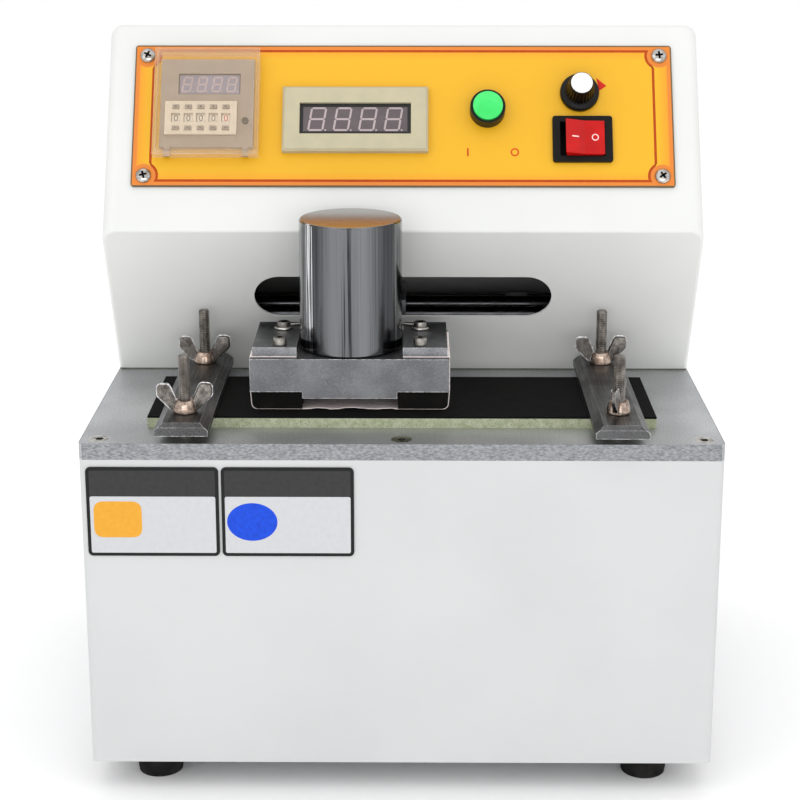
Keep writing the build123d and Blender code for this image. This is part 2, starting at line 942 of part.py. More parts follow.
# Wing nuts: one on each stud, with two upturned wings
nut_rise = mat_rise + bar_thickness
wing_tip = wing_span / 2
wing_outline = [
    (wing_inner_reach, wing_root_height),
    (nut_hub_radius, wing_root_height),
    (wing_tip, wing_height - wing_tip_height),
    (wing_tip, wing_height),
    (wing_tip - wing_tip_width, wing_height),
    (wing_inner_reach, nut_hub_height),
]
for nut_name, side, setback, turn in (
    ("wing_nut_left_front", -1, stud_front_setback, 0),
    ("wing_nut_left_rear", -1, stud_rear_setback, 0),
    ("wing_nut_right_front", 1, stud_front_setback, turned_nut_angle),
    ("wing_nut_right_rear", 1, stud_rear_setback, 0),
):
    nut_seat = turned(over_table(nut_rise), side * bar_x, setback, turn)
    wing_plane = Plane(origin=nut_seat.origin, x_dir=nut_seat.x_dir, z_dir=nut_seat.y_dir * -1)
    with BuildPart(nut_seat) as wing_nut:
        Cone(
            nut_hub_radius,
            nut_hub_top_radius,
            nut_hub_height,
            align=(Align.CENTER, Align.CENTER, Align.MIN),
        )
        with BuildSketch(wing_plane) as wing_face:
            with BuildLine():
                Polyline(*wing_outline, close=True)
            make_face()
            fillet(wing_face.vertices().group_by(Axis.Y)[-1], radius=wing_round)
            mirror(about=Plane.YZ)
        extrude(amount=wing_thickness / 2, both=True)
        Hole(stud_radius + nut_bore_clearance)
    wing_nut.part.label = nut_name
    export_step(wing_nut.part, f"parts/{nut_name}.step")

# Gearbox: hung under the table, with a bore for the shaft
with BuildPart() as gearbox:
    with BuildSketch(over_table(-table_thickness)):
        with Locations((crank_x, crank_setback)):
            RectangleRounded(gearbox_width, gearbox_width, gearbox_corner_radius)
    extrude(amount=-gearbox_height)
    with BuildSketch(over_table(-table_thickness)):
        with Locations((crank_x, crank_setback)):
            Circle(shaft_radius + running_clearance)
    extrude(amount=-shaft_depth, mode=Mode.SUBTRACT)
    with BuildSketch(over_table(0)):
        with Locations(*motor_screw_points):
            Circle(motor_screw_radius)
    extrude(amount=-motor_screw_length, mode=Mode.SUBTRACT)
gearbox.part.label = "gearbox"
export_step(gearbox.part, "parts/gearbox.step")

# Drive motor: a round motor under the gearbox
with BuildPart() as drive_motor:
    with BuildSketch(over_table(-table_thickness - gearbox_height)):
        with Locations((crank_x, crank_setback)):
            Circle(motor_radius)
    extrude(amount=-motor_length)
    fillet(drive_motor.edges().group_by(Axis.Z)[0], radius=motor_rim_radius)
drive_motor.part.label = "drive_motor"
export_step(drive_motor.part, "parts/drive_motor.step")

# Motor screws: countersunk in the table, holding the gearbox
motor_sink_depth = motor_screw_head_radius - motor_screw_radius
with BuildPart(over_table(-motor_sink_depth)) as motor_screws:
    with BuildSketch(over_table(0)):
        with Locations(*motor_screw_points):
            Circle(motor_screw_radius)
    extrude(amount=-motor_screw_length)
    with Locations(*motor_screw_points):
        Cone(
            motor_screw_radius,
            motor_screw_head_radius,
            motor_sink_depth,
            align=(Align.CENTER, Align.CENTER, Align.MIN),
        )
motor_screws.part.label = "motor_screws"
export_step(motor_screws.part, "parts/motor_screws.step")

# Motor shaft: from the gearbox up into the crank disc
disc_top_rise = crank_disc_rise + crank_disc_thickness
with BuildPart() as motor_shaft:
    with BuildSketch(over_table(disc_top_rise)):
        with Locations((crank_x, crank_setback)):
            Circle(shaft_radius)
    extrude(amount=-disc_top_rise - table_thickness - shaft_depth)
motor_shaft.part.label = "motor_shaft"
export_step(motor_shaft.part, "parts/motor_shaft.step")

# Where the crank and the rod stand when the machine rests
crank_radius = stroke / 2
wrist_x = rest_position + wrist_offset
crank_reach = crank_x - wrist_x
crank_angle = math.acos(
    (crank_radius**2 + crank_reach**2 - link_length**2) / (2 * crank_radius * crank_reach)
)
crank_pin_x = crank_x - crank_radius * math.cos(crank_angle)
crank_pin_setback = crank_setback + crank_radius * math.sin(crank_angle)
link_angle = math.degrees(math.atan2(crank_pin_setback - crank_setback, crank_pin_x - wrist_x))

# Crank disc: with a hub below and a flag on its rim for the stroke sensor
flag_rise = crank_disc_rise + (crank_disc_thickness - flag_thickness) / 2
flag_plane = turned(over_table(flag_rise), crank_x, crank_setback, -math.degrees(crank_angle))
with BuildPart() as crank_disc:
    with BuildSketch(over_table(crank_disc_rise)):
        with Locations((crank_x, crank_setback)):
            Circle(crank_disc_radius)
    extrude(amount=crank_disc_thickness)
    with BuildSketch(over_table(crank_disc_rise)):
        with Locations((crank_x, crank_setback)):
            Circle(crank_hub_radius)
    extrude(amount=-crank_hub_height)
    with BuildSketch(flag_plane):
        with Locations((-crank_disc_radius, 0)):
            Rectangle(2 * flag_length, flag_width)
    extrude(amount=flag_thickness)
    with BuildSketch(over_table(disc_top_rise)):
        with Locations((crank_x, crank_setback)):
            Circle(shaft_radius)
    extrude(amount=-crank_disc_thickness - crank_hub_height, mode=Mode.SUBTRACT)
crank_disc.part.label = "crank_disc"
export_step(crank_disc.part, "parts/crank_disc.step")

# Connecting rod: a flat bar with an eye at each end
link_middle = ((wrist_x + crank_pin_x) / 2, (crank_setback + crank_pin_setback) / 2, 0)
link_top_rise = link_rise + link_thickness
with BuildPart() as connecting_rod:
    with BuildSketch(over_table(link_rise)):
        with Locations(Location(link_middle, (0, 0, link_angle))):
            Rectangle(link_length, link_width)
        with Locations((wrist_x, crank_setback), (crank_pin_x, crank_pin_setback)):
            Circle(link_eye_radius)
        with Locations((wrist_x, crank_setback)):
            Circle(pin_radius + running_clearance, mode=Mode.SUBTRACT)
        with Locations((crank_pin_x, crank_pin_setback)):
            Circle(pin_radius, mode=Mode.SUBTRACT)
    extrude(amount=link_thickness)
connecting_rod.part.label = "connecting_rod"
export_step(connecting_rod.part, "parts/connecting_rod.step")

# Crank pin: through the rod's outer eye, with a head above and its foot close over the disc
pin_foot_rise = disc_top_rise + pin_disc_gap
with BuildPart() as crank_pin:
    with BuildSketch(over_table(pin_foot_rise)):
        with Locations((crank_pin_x, crank_pin_setback)):
            Circle(pin_radius)
    extrude(amount=link_top_rise - pin_foot_rise)
    with BuildSketch(over_table(link_top_rise)):
        with Locations((crank_pin_x, crank_pin_setback)):
            Circle(pin_head_radius)
    extrude(amount=pin_head_height)
crank_pin.part.label = "crank_pin"
export_step(crank_pin.part, "parts/crank_pin.step")

# Rod supports: two blocks behind the head's flange, reaching forward over it
support_front = rod_setback_front - support_margin
support_rear = rod_setback_rear + support_margin
support_top = rod_rise + rod_radius + support_top_margin
rod_points = [(rod_setback_front, rod_rise), (rod_setback_rear, rod_rise)]
support_outline = [
    (room_start + seat_gap, 0),
    (room_start + seat_gap, support_foot_rise),
    (support_front, support_shoulder_rise),
    (support_front, support_top),
    (support_rear, support_top),
    (support_rear, 0),
]
with BuildPart() as rod_supports:
    for side in (-1, 1):
        with BuildSketch(side_plane(side * support_x)):
            with BuildLine():
                Polyline(*support_outline, close=True)
            make_face()
            with Locations(*rod_points):
                Circle(rod_radius, mode=Mode.SUBTRACT)
        extrude(amount=support_thickness / 2, both=True)
rod_supports.part.label = "rod_supports"
export_step(rod_supports.part, "parts/rod_supports.step")

# Guide rods: two ground rods across the head
with BuildPart() as guide_rods:
    with BuildSketch(side_plane(0)):
        with Locations(*rod_points):
            Circle(rod_radius)
    extrude(amount=support_x + support_thickness / 2, both=True)
guide_rods.part.label = "guide_rods"
export_step(guide_rods.part, "parts/guide_rods.step")

# Carriage: runs on the rods, with a lug at the back for the connecting rod
carriage_front = rod_setback_front - carriage_margin
carriage_rear = rod_setback_rear + carriage_margin
carriage_middle = (carriage_front + carriage_rear) / 2
carriage_half = carriage_length / 2
lug_rise = link_top_rise + lug_gap
arm_screw_points = [
    (rest_position - arm_screw_spacing / 2, carriage_middle),
    (rest_position + arm_screw_spacing / 2, carriage_middle),
]
with BuildPart() as carriage:
    with BuildSketch(over_table(carriage_bottom_rise)):
        with Locations((rest_position, carriage_middle)):
            Rectangle(carriage_length, carriage_rear - carriage_front)
    extrude(amount=carriage_top_rise - carriage_bottom_rise)
    with BuildSketch(over_table(lug_rise)):
        with Locations((wrist_x, (carriage_rear + crank_setback) / 2)):
            Rectangle(lug_width, crank_setback - carriage_rear)
        with Locations((wrist_x, crank_setback)):
            Circle(lug_width / 2)
            Circle(pin_radius, mode=Mode.SUBTRACT)
    extrude(amount=lug_thickness)
    with BuildSketch(side_plane(rest_position)):
        with Locations(*rod_points):
            Circle(bushing_radius)
    extrude(amount=carriage_half, both=True, mode=Mode.SUBTRACT)
    with BuildSketch(over_table(carriage_top_rise)):
        with Locations(*arm_screw_points):
            Circle(arm_screw_radius)
    extrude(amount=-arm_screw_depth, mode=Mode.SUBTRACT)
carriage.part.label = "carriage"
export_step(carriage.part, "parts/carriage.step")

# Carriage bushings: one at each end of both bores
with BuildPart() as carriage_bushings:
    for side in (-1, 1):
        with BuildSketch(side_plane(rest_position + side * carriage_half)):
            with Locations(*rod_points):
                Circle(bushing_radius)
                Circle(rod_radius + running_clearance, mode=Mode.SUBTRACT)
        extrude(amount=-side * bushing_length)
carriage_bushings.part.label = "carriage_bushings"
export_step(carriage_bushings.part, "parts/carriage_bushings.step")

# Wrist pin: pressed into the lug, with a head below the connecting rod
wrist_head_rise = link_rise - lug_gap
with BuildPart() as wrist_pin:
    with BuildSketch(over_table(wrist_head_rise)):
        with Locations((wrist_x, crank_setback)):
            Circle(pin_radius)
    extrude(amount=lug_rise + lug_thickness - wrist_head_rise)
    with BuildSketch(over_table(wrist_head_rise)):
        with Locations((wrist_x, crank_setback)):
            Circle(pin_head_radius)
    extrude(amount=-pin_head_height)
wrist_pin.part.label = "wrist_pin"
export_step(wrist_pin.part, "parts/wrist_pin.step")

# Drive arm: lies on the carriage, passes through the slot and ends in a fork for the drive pin
drive_pin_setback = block_rear + bracket_reach - drive_pin_edge
arm_rear = carriage_rear - arm_rear_margin
arm_top_rise = carriage_top_rise + arm_thickness
fork_half = drive_pin_radius + fork_clearance
with BuildPart() as drive_arm:
    with BuildSketch(over_table(carriage_top_rise)):
        with Locations((rest_position, (arm_front_setback + arm_rear) / 2)):
            Rectangle(arm_width, arm_rear - arm_front_setback)
        with Locations((rest_position, (arm_front_setback + drive_pin_setback) / 2)):
            Rectangle(2 * fork_half, drive_pin_setback - arm_front_setback, mode=Mode.SUBTRACT)
        with Locations((rest_position, drive_pin_setback)):
            Circle(fork_half, mode=Mode.SUBTRACT)
        with Locations(*arm_screw_points):
            Circle(arm_screw_radius, mode=Mode.SUBTRACT)
    extrude(amount=arm_thickness)
drive_arm.part.label = "drive_arm"
export_step(drive_arm.part, "parts/drive_arm.step")

# Arm screws: socket heads on the arm, into the carriage between its bores
with BuildPart() as arm_screws:
    with BuildSketch(over_table(arm_top_rise)):
        with Locations(*arm_screw_points):
            Circle(arm_screw_radius)
    extrude(amount=-arm_thickness - arm_screw_depth)
    with BuildSketch(over_table(arm_top_rise)):
        with Locations(*arm_screw_points):
            Circle(arm_screw_head_radius)
    extrude(amount=arm_screw_head_height)
    with BuildSketch(over_table(arm_top_rise + arm_screw_head_height)):
        with Locations(*arm_screw_points):
            RegularPolygon(arm_socket_radius, 6)
    extrude(amount=-arm_socket_depth, mode=Mode.SUBTRACT)
arm_screws.part.label = "arm_screws"
export_step(arm_screws.part, "parts/arm_screws.step")

# Friction block: a steel block with a recess at each end for its pad
block_half = block_length / 2
block_end_rise = block_top_rise - block_end_height
block_middle_rise = block_top_rise - block_middle_height
pad_outer = block_half - pad_inset
block_middle_half = pad_outer - pad_length - pad_side_gap
block_outline = [
    (-block_half, block_top_rise),
    (-block_half, block_end_rise),
    (-block_middle_half, block_end_rise),
    (-block_middle_half, block_middle_rise),
    (block_middle_half, block_middle_rise),
    (block_middle_half, block_end_rise),
    (block_half, block_end_rise),
    (block_half, block_top_rise),
]
clamp_front_setback = block_setback + clamp_plate_front
screw_front_setback = clamp_front_setback + block_screw_front
screw_rear_setback = screw_front_setback + block_screw_spacing
clamp_screw_points = [
    (rest_position + side * block_screw_x, setback)
    for side in (-1, 1)
    for setback in (screw_front_setback, screw_rear_setback)
]
with BuildPart() as friction_block:
    with BuildSketch(front_plane(rest_position, block_setback)):
        with BuildLine():
            Polyline(*block_outline, close=True)
        make_face()
    extrude(amount=-block_depth)
    with BuildSketch(over_table(block_top_rise)):
        with Locations(*clamp_screw_points):
            Circle(block_screw_radius)
    extrude(amount=-block_screw_depth, mode=Mode.SUBTRACT)
friction_block.part.label = "friction_block"
export_step(friction_block.part, "parts/friction_block.step")

# Friction pads: one rubber pad in each recess, rounded where the strip turns up
strip_rise = mat_rise + strip_rest_gap
pad_bottom_rise = strip_rise + strip_thickness
pad_middle = pad_outer - pad_length / 2
pad_middle_rise = (block_end_rise + pad_bottom_rise) / 2
block_middle_setback = block_setback + block_depth / 2
pad_front = block_middle_setback - pad_depth / 2
with BuildPart() as friction_pads:
    with BuildSketch(front_plane(rest_position, pad_front)) as pad_face:
        with Locations((-pad_middle, pad_middle_rise)):
            Rectangle(pad_length, block_end_rise - pad_bottom_rise)
        fillet(pad_face.vertices().group_by(Axis.Y)[0].sort_by(Axis.X)[0], radius=pad_round)
        mirror(about=Plane.YZ)
    extrude(amount=-pad_depth)
friction_pads.part.label = "friction_pads"
export_step(friction_pads.part, "parts/friction_pads.step")

# The block and its pads as the strip sees them
strip_outline = [
    (-block_half, block_top_rise),
    (-block_half, block_end_rise),
    (-pad_outer, pad_bottom_rise),
    (pad_outer, pad_bottom_rise),
    (block_half, block_end_rise),
    (block_half, block_top_rise),
]
with BuildPart() as strip_core:
    with BuildSketch(front_plane(rest_position, block_setback)) as core_face:
        with BuildLine():
            Polyline(*strip_outline, close=True)
        make_face()
        fillet(core_face.vertices().group_by(Axis.Y)[0], radius=pad_round)
    extrude(amount=-block_depth)

# Receptor strip: wraps under the pads and up both ends, and is held on top by the clamps
clamp_inner_x = block_half - clamp_plate_inset - clamp_plate_length
strip_front = block_middle_setback - strip_width / 2
with BuildPart() as receptor_strip:
    with BuildSketch(front_plane(rest_position, strip_front)) as strip_face:
        with BuildLine():
            Polyline(*strip_outline, close=True)
        make_face()
        fillet(strip_face.vertices().group_by(Axis.Y)[0], radius=pad_round)
        offset(amount=strip_thickness)
    extrude(amount=-strip_width)
    add(strip_core.part, mode=Mode.SUBTRACT)
    with BuildSketch(over_table(block_top_rise)):
        with Locations((rest_position, block_middle_setback)):
            Rectangle(2 * clamp_inner_x, block_depth)
        with Locations(*clamp_screw_points):
            Circle(block_screw_radius)
    extrude(amount=strip_thickness, mode=Mode.SUBTRACT)
receptor_strip.part.label = "receptor_strip"
export_step(receptor_strip.part, "parts/receptor_strip.step")

# Strip clamps: a plate over each end of the strip
clamp_rise = block_top_rise + strip_thickness
clamp_top_rise = clamp_rise + clamp_plate_thickness
clamp_middle_x = clamp_inner_x + clamp_plate_length / 2
with BuildPart() as strip_clamps:
    with BuildSketch(over_table(clamp_rise)):
        with Locations(
            (rest_position - clamp_middle_x, clamp_front_setback + clamp_plate_depth / 2),
            (rest_position + clamp_middle_x, clamp_front_setback + clamp_plate_depth / 2),
        ):
            Rectangle(clamp_plate_length, clamp_plate_depth)
        with Locations(*clamp_screw_points):
            Circle(block_screw_radius, mode=Mode.SUBTRACT)
    extrude(amount=clamp_plate_thickness)
strip_clamps.part.label = "strip_clamps"
export_step(strip_clamps.part, "parts/strip_clamps.step")

# Clamp screws: socket heads on the strip clamps
with BuildPart() as clamp_screws:
    with BuildSketch(over_table(clamp_top_rise)):
        with Locations(*clamp_screw_points):
            Circle(block_screw_radius)
    extrude(amount=block_top_rise - block_screw_depth - clamp_top_rise)
    with BuildSketch(over_table(clamp_top_rise)):
        with Locations(*clamp_screw_points):
            Circle(block_screw_head_radius)
    extrude(amount=block_screw_head_height)
    with BuildSketch(over_table(clamp_top_rise + block_screw_head_height)):
        with Locations(*clamp_screw_points):
            RegularPolygon(block_socket_radius, 6)
    extrude(amount=-block_socket_depth, mode=Mode.SUBTRACT)
clamp_screws.part.label = "clamp_screws"
export_step(clamp_screws.part, "parts/clamp_screws.step")

# Drive bracket: an angle on the block's back that carries the drive pin
bracket_outline = [
    (block_rear, block_top_rise - bracket_leg_height),
    (block_rear + bracket_thickness, block_top_rise - bracket_leg_height),
    (block_rear + bracket_thickness, block_top_rise - bracket_thickness),
    (block_rear + bracket_reach, block_top_rise - bracket_thickness),
    (block_rear + bracket_reach, block_top_rise),
    (block_rear, block_top_rise),
]
with BuildPart() as drive_bracket:
    with BuildSketch(side_plane(rest_position)):
        with BuildLine():
            Polyline(*bracket_outline, close=True)
        make_face()
    extrude(amount=bracket_width / 2, both=True)
    with BuildSketch(over_table(block_top_rise)):
        with Locations((rest_position, drive_pin_setback)):
            Circle(drive_pin_radius)
    extrude(amount=-bracket_thickness, mode=Mode.SUBTRACT)
drive_bracket.part.label = "drive_bracket"
export_step(drive_bracket.part, "parts/drive_bracket.step")

# Drive pin: pressed into the bracket and standing up through the fork
with BuildPart() as drive_pin:
    with BuildSketch(over_table(block_top_rise - bracket_thickness)):
        with Locations((rest_position, drive_pin_setback)):
            Circle(drive_pin_radius)
    extrude(amount=drive_pin_rise - block_top_rise + bracket_thickness)
    chamfer(drive_pin.edges().group_by(Axis.Z)[-1], length=drive_pin_chamfer)
drive_pin.part.label = "drive_pin"
export_step(drive_pin.part, "parts/drive_pin.step")

# Weight bail: a wire round the two rear clamp screws and behind the weight
bail_reach = weight_radius + bail_gap + bail_wire / 2
eye_reach = block_screw_head_radius + bail_eye_gap + bail_wire / 2
eye_back = screw_rear_setback - weight_setback
eye_distance = math.hypot(block_screw_x, eye_back)
bail_turn = math.atan2(eye_back, block_screw_x) + math.acos((bail_reach - eye_reach) / eye_distance)
bail_side = (bail_reach * math.cos(bail_turn), bail_reach * math.sin(bail_turn))
eye_side = (
    block_screw_x + eye_reach * math.cos(bail_turn),
    eye_back + eye_reach * math.sin(bail_turn),
)
bail_plane = turned(
    over_table(clamp_top_rise + bail_wire / 2), rest_position, weight_setback, 0
)
with BuildPart(bail_plane) as weight_bail:
    with BuildLine(bail_plane) as bail_path:
        Line((-eye_side[0], eye_side[1]), (-bail_side[0], bail_side[1]))
        ThreePointArc((-bail_side[0], bail_side[1]), (0, bail_reach), bail_side)
        Line(bail_side, eye_side)
    bail_wire_path = bail_path.wire()
    with BuildSketch(Plane(origin=bail_wire_path @ 0, z_dir=bail_wire_path % 0)):
        Circle(bail_wire / 2)
    sweep(path=bail_wire_path)
    with Locations((-block_screw_x, eye_back), (block_screw_x, eye_back)):
        Torus(eye_reach, bail_wire / 2)
weight_bail.part.label = "weight_bail"
export_step(weight_bail.part, "parts/weight_bail.step")

# Load weight: a steel cylinder standing on the block between the strip clamps
with BuildPart() as load_weight:
    with BuildSketch(over_table(block_top_rise)):
        with Locations((rest_position, weight_setback)):
            Circle(weight_radius)
    extrude(amount=weight_height)
    chamfer(load_weight.edges().filter_by(GeomType.CIRCLE), length=weight_chamfer)
load_weight.part.label = "load_weight"
export_step(load_weight.part, "parts/load_weight.step")

# Counter body: a square frame over a deep case, with the display's window, the switch block,
# and two lugs below for the cover
frame_top = plate_thickness + counter_frame_thickness
switch_top = frame_top + switch_block_proud
switch_wall_back = switch_top - switch_wall
switch_block_centre = (counter_x + switch_block_x, counter_up_slope + switch_block_y)
cavity_width = switch_block_width - 2 * switch_side_wall
cavity_height = switch_block_height - 2 * switch_side_wall
digit_reach = digit_pitch * (digit_count - 1) / 2
digit_columns = [
    switch_block_centre[0] - digit_reach + digit_pitch * column for column in range(digit_count)
]
wheel_middle = switch_wall_back - wheel_rim_gap - wheel_radius
counter_side = along_slope(counter_x, counter_up_slope)
cover_axis_out = plate_thickness + cover_plate_gap + cover_barrel_radius
frame_drop = counter_frame_size / 2
lug_drop_middle = (cover_axis_drop + frame_drop) / 2
lug_inner = cover_axis_out - cover_lug_radius
axle_half = cavity_width / 2 + wheel_axle_overlap
with BuildPart() as counter_body:
    with BuildSketch(on_slope(plate_thickness)):
        with Locations((counter_x, counter_up_slope)):
            Rectangle(counter_frame_size, counter_frame_size)
    extrude(amount=counter_frame_thickness)
    with BuildSketch(on_slope(plate_thickness)):
        with Locations((counter_x, counter_up_slope)):
            Rectangle(counter_case_size, counter_case_size)
    extrude(amount=-counter_case_depth)
    with BuildSketch(on_slope(frame_top)):
        with Locations(switch_block_centre):
            Rectangle(switch_block_width, switch_block_height)
    extrude(amount=switch_block_proud)
    with BuildSketch(on_slope(frame_top)):
        with Locations((counter_x + counter_window_x, counter_up_slope + counter_window_y)):
            Rectangle(counter_window_width, counter_window_height)
    extrude(amount=-counter_window_depth, mode=Mode.SUBTRACT)
    with BuildSketch(on_slope(switch_wall_back)):
        with Locations(switch_block_centre):
            Rectangle(cavity_width, cavity_height)
    extrude(amount=-switch_cavity_depth, mode=Mode.SUBTRACT)
    with BuildSketch(on_slope(switch_top)):
        for column in digit_columns:
            with Locations((column, switch_block_centre[1])):
                Rectangle(digit_window_width, digit_window_height)
            with Locations(
                (column, switch_block_centre[1] + key_row_offset),
                (column, switch_block_centre[1] - key_row_offset),
            ):
                Rectangle(key_width + 2 * key_gap, key_height + 2 * key_gap)
    extrude(amount=-switch_wall, mode=Mode.SUBTRACT)
    with BuildSketch(along_slope(*switch_block_centre)):
        with Locations((0, wheel_middle)):
            Circle(wheel_axle_radius + running_clearance)
    extrude(amount=axle_half, both=True, mode=Mode.SUBTRACT)
    with BuildSketch(on_slope(frame_top)):
        with Locations((counter_x + reset_x, counter_up_slope + reset_y)):
            Circle(reset_radius + reset_gap)
    extrude(amount=-reset_depth - reset_travel, mode=Mode.SUBTRACT)
    for side in (-1, 1):
        with BuildSketch(counter_side.offset(side * cover_lug_x)):
            with Locations((-cover_axis_drop, cover_axis_out)):
                Circle(cover_lug_radius)
            with Locations((-lug_drop_middle, (lug_inner + frame_top) / 2)):
                Rectangle(cover_axis_drop - frame_drop, frame_top - lug_inner)
            with Locations((-cover_axis_drop, cover_axis_out)):
                Circle(cover_pin_radius + cover_pin_clearance, mode=Mode.SUBTRACT)
        extrude(amount=cover_lug_width / 2, both=True)
counter_body.part.label = "counter_body"
export_step(counter_body.part, "parts/counter_body.step")

# Counter wheels: five digit wheels on one axle
with BuildPart() as counter_wheels:
    for column in digit_columns:
        with BuildSketch(along_slope(column, switch_block_centre[1])):
            with Locations((0, wheel_middle)):
                Circle(wheel_radius)
        extrude(amount=wheel_width / 2, both=True)
    with BuildSketch(along_slope(*switch_block_centre)):
        with Locations((0, wheel_middle)):
            Circle(wheel_axle_radius)
    extrude(amount=axle_half, both=True)
counter_wheels.part.label = "counter_wheels"
export_step(counter_wheels.part, "parts/counter_wheels.step")

# Counter keys: a row over the digits that counts them up and a row below that counts them down
for keys_name, side in (("counter_plus_keys", 1), ("counter_minus_keys", -1)):
    with BuildPart() as counter_keys:
        with BuildSketch(on_slope(switch_top + key_proud)):
            for column in digit_columns:
                with Locations((column, switch_block_centre[1] + side * key_row_offset)):
                    Rectangle(key_width, key_height)
        extrude(amount=-key_length)
    counter_keys.part.label = keys_name
    export_step(counter_keys.part, f"parts/{keys_name}.step")

# Counter reset: a small round button beside the switch block
with BuildPart() as counter_reset:
    with BuildSketch(on_slope(frame_top + reset_proud)):
        with Locations((counter_x + reset_x, counter_up_slope + reset_y)):
            Circle(reset_radius)
    extrude(amount=-reset_proud - reset_depth)
counter_reset.part.label = "counter_reset"
export_step(counter_reset.part, "parts/counter_reset.step")

# Counter cover: a clear lid over the counter, hinged below it on the frame's lugs
cover_back = plate_thickness + cover_plate_gap
cover_front = plate_thickness + cover_height
cover_bottom = -cover_axis_drop - cover_barrel_radius
cover_middle = ((cover_bottom + cover_top) / 2, (cover_back + cover_front) / 2)
cover_length = cover_top - cover_bottom
cover_depth = cover_front - cover_back
cover_room_half = cover_width / 2 - cover_wall
lug_slot_half = cover_lug_width / 2 + cover_lug_gap
with BuildPart() as counter_cover:
    with BuildSketch(counter_side) as cover_face:
        with Locations(cover_middle):
            Rectangle(cover_length, cover_depth)
        hinge_corner = cover_face.vertices().group_by(Axis.X)[0].sort_by(Axis.Y)[0]
        fillet(hinge_corner, radius=cover_barrel_radius)
    extrude(amount=cover_width / 2, both=True)
    with BuildSketch(counter_side):
        with Locations((cover_middle[0], cover_middle[1] - cover_wall)):
            Rectangle(cover_length - 2 * cover_wall, cover_depth)
    extrude(amount=cover_room_half, both=True, mode=Mode.SUBTRACT)
    with BuildSketch(counter_side):
        with Locations((-cover_axis_drop, cover_axis_out)):
            Circle(cover_barrel_radius)
    extrude(amount=cover_room_half, both=True)
    for side in (-1, 1):
        with BuildSketch(counter_side.offset(side * cover_lug_x)):
            with Locations((-cover_axis_drop, cover_axis_out)):
                Circle(cover_barrel_radius + cover_wall)
                Circle(cover_pin_radius, mode=Mode.SUBTRACT)
        extrude(amount=lug_slot_half, both=True, mode=Mode.SUBTRACT)
counter_cover.part.label = "counter_cover"
export_step(counter_cover.part, "parts/counter_cover.step")

# Tachometer: a bevelled bezel with a sunk window, over a deep case
tacho_top = plate_thickness + tacho_thickness
with BuildPart() as tachometer:
    with BuildSketch(on_slope(plate_thickness)):
        with Locations((tacho_x, tacho_up_slope)):
            Rectangle(tacho_width, tacho_height)
    extrude(amount=tacho_thickness - tacho_bevel)
    with BuildSketch(on_slope(tacho_top - tacho_bevel)):
        with Locations((tacho_x, tacho_up_slope)):
            Rectangle(tacho_width, tacho_height)
    extrude(amount=tacho_bevel, taper=sink_angle / 2)
    with BuildSketch(on_slope(tacho_top)):
        with Locations((tacho_x, tacho_up_slope)):
            Rectangle(tacho_window_width, tacho_window_height)
    extrude(amount=-tacho_window_depth, mode=Mode.SUBTRACT)
    with BuildSketch(on_slope(plate_thickness)):
        with Locations((tacho_x, tacho_up_slope)):
            Rectangle(tacho_case_width, tacho_case_height)
    extrude(amount=-tacho_case_depth)
tachometer.part.label = "tachometer"
export_step(tachometer.part, "parts/tachometer.step")

# Button bezel: the collar and the switch case behind it
with BuildPart() as button_bezel:
    with BuildSketch(on_slope(plate_thickness)):
        with Locations((button_x, button_up_slope)):
            Circle(button_collar_radius)
    extrude(amount=button_collar_height)
    with BuildSketch(on_slope(plate_thickness + button_floor)):
        with Locations((button_x, button_up_slope)):
            Circle(button_radius + button_gap)
    extrude(amount=button_collar_height, mode=Mode.SUBTRACT)
    with BuildSketch(on_slope(plate_thickness)):
        with Locations((button_x, button_up_slope)):
            Circle(button_case_radius)
    extrude(amount=-button_case_depth)
button_bezel.part.label = "button_bezel"
export_step(button_bezel.part, "parts/button_bezel.step")

# Start button: a domed green lens that slides in the collar
button_section = across_slope(button_x, button_up_slope, 0)
with BuildPart() as start_button:
    with BuildSketch(button_section):
        with BuildLine():
            Line((0, button_cap_top + button_dome_height), (0, button_cap_bottom))
            Line((0, button_cap_bottom), (button_radius, button_cap_bottom))
            Line((button_radius, button_cap_bottom), (button_radius, button_cap_top))
            RadiusArc(
                (button_radius, button_cap_top),
                (0, button_cap_top + button_dome_height),
                -(button_radius**2 + button_dome_height**2) / (2 * button_dome_height),
            )
        make_face()
    revolve(axis=Axis(button_section.origin, button_section.y_dir))
start_button.part.label = "start_button"
export_step(start_button.part, "parts/start_button.step")

# Speed control: a rotary control behind the plate, its bushing through it
knob_bottom = plate_thickness + knob_plate_gap
bushing_top = knob_bottom - control_bushing_gap
stem_end = knob_bottom - knob_stem_length
with BuildPart() as speed_control:
    with BuildSketch(on_slope(0)):
        with Locations((speed_x, speed_up_slope)):
            Circle(control_can_radius)
    extrude(amount=-control_can_depth)
    with BuildSketch(on_slope(0)):
        with Locations((speed_x, speed_up_slope)):
            Circle(control_bushing_radius)
    extrude(amount=bushing_top)
    with BuildSketch(on_slope(bushing_top)):
        with Locations((speed_x, speed_up_slope)):
            Circle(knob_stem_radius + knob_stem_clearance)
    extrude(amount=stem_end - knob_stem_end_gap - bushing_top, mode=Mode.SUBTRACT)
speed_control.part.label = "speed_control"
export_step(speed_control.part, "parts/speed_control.step")

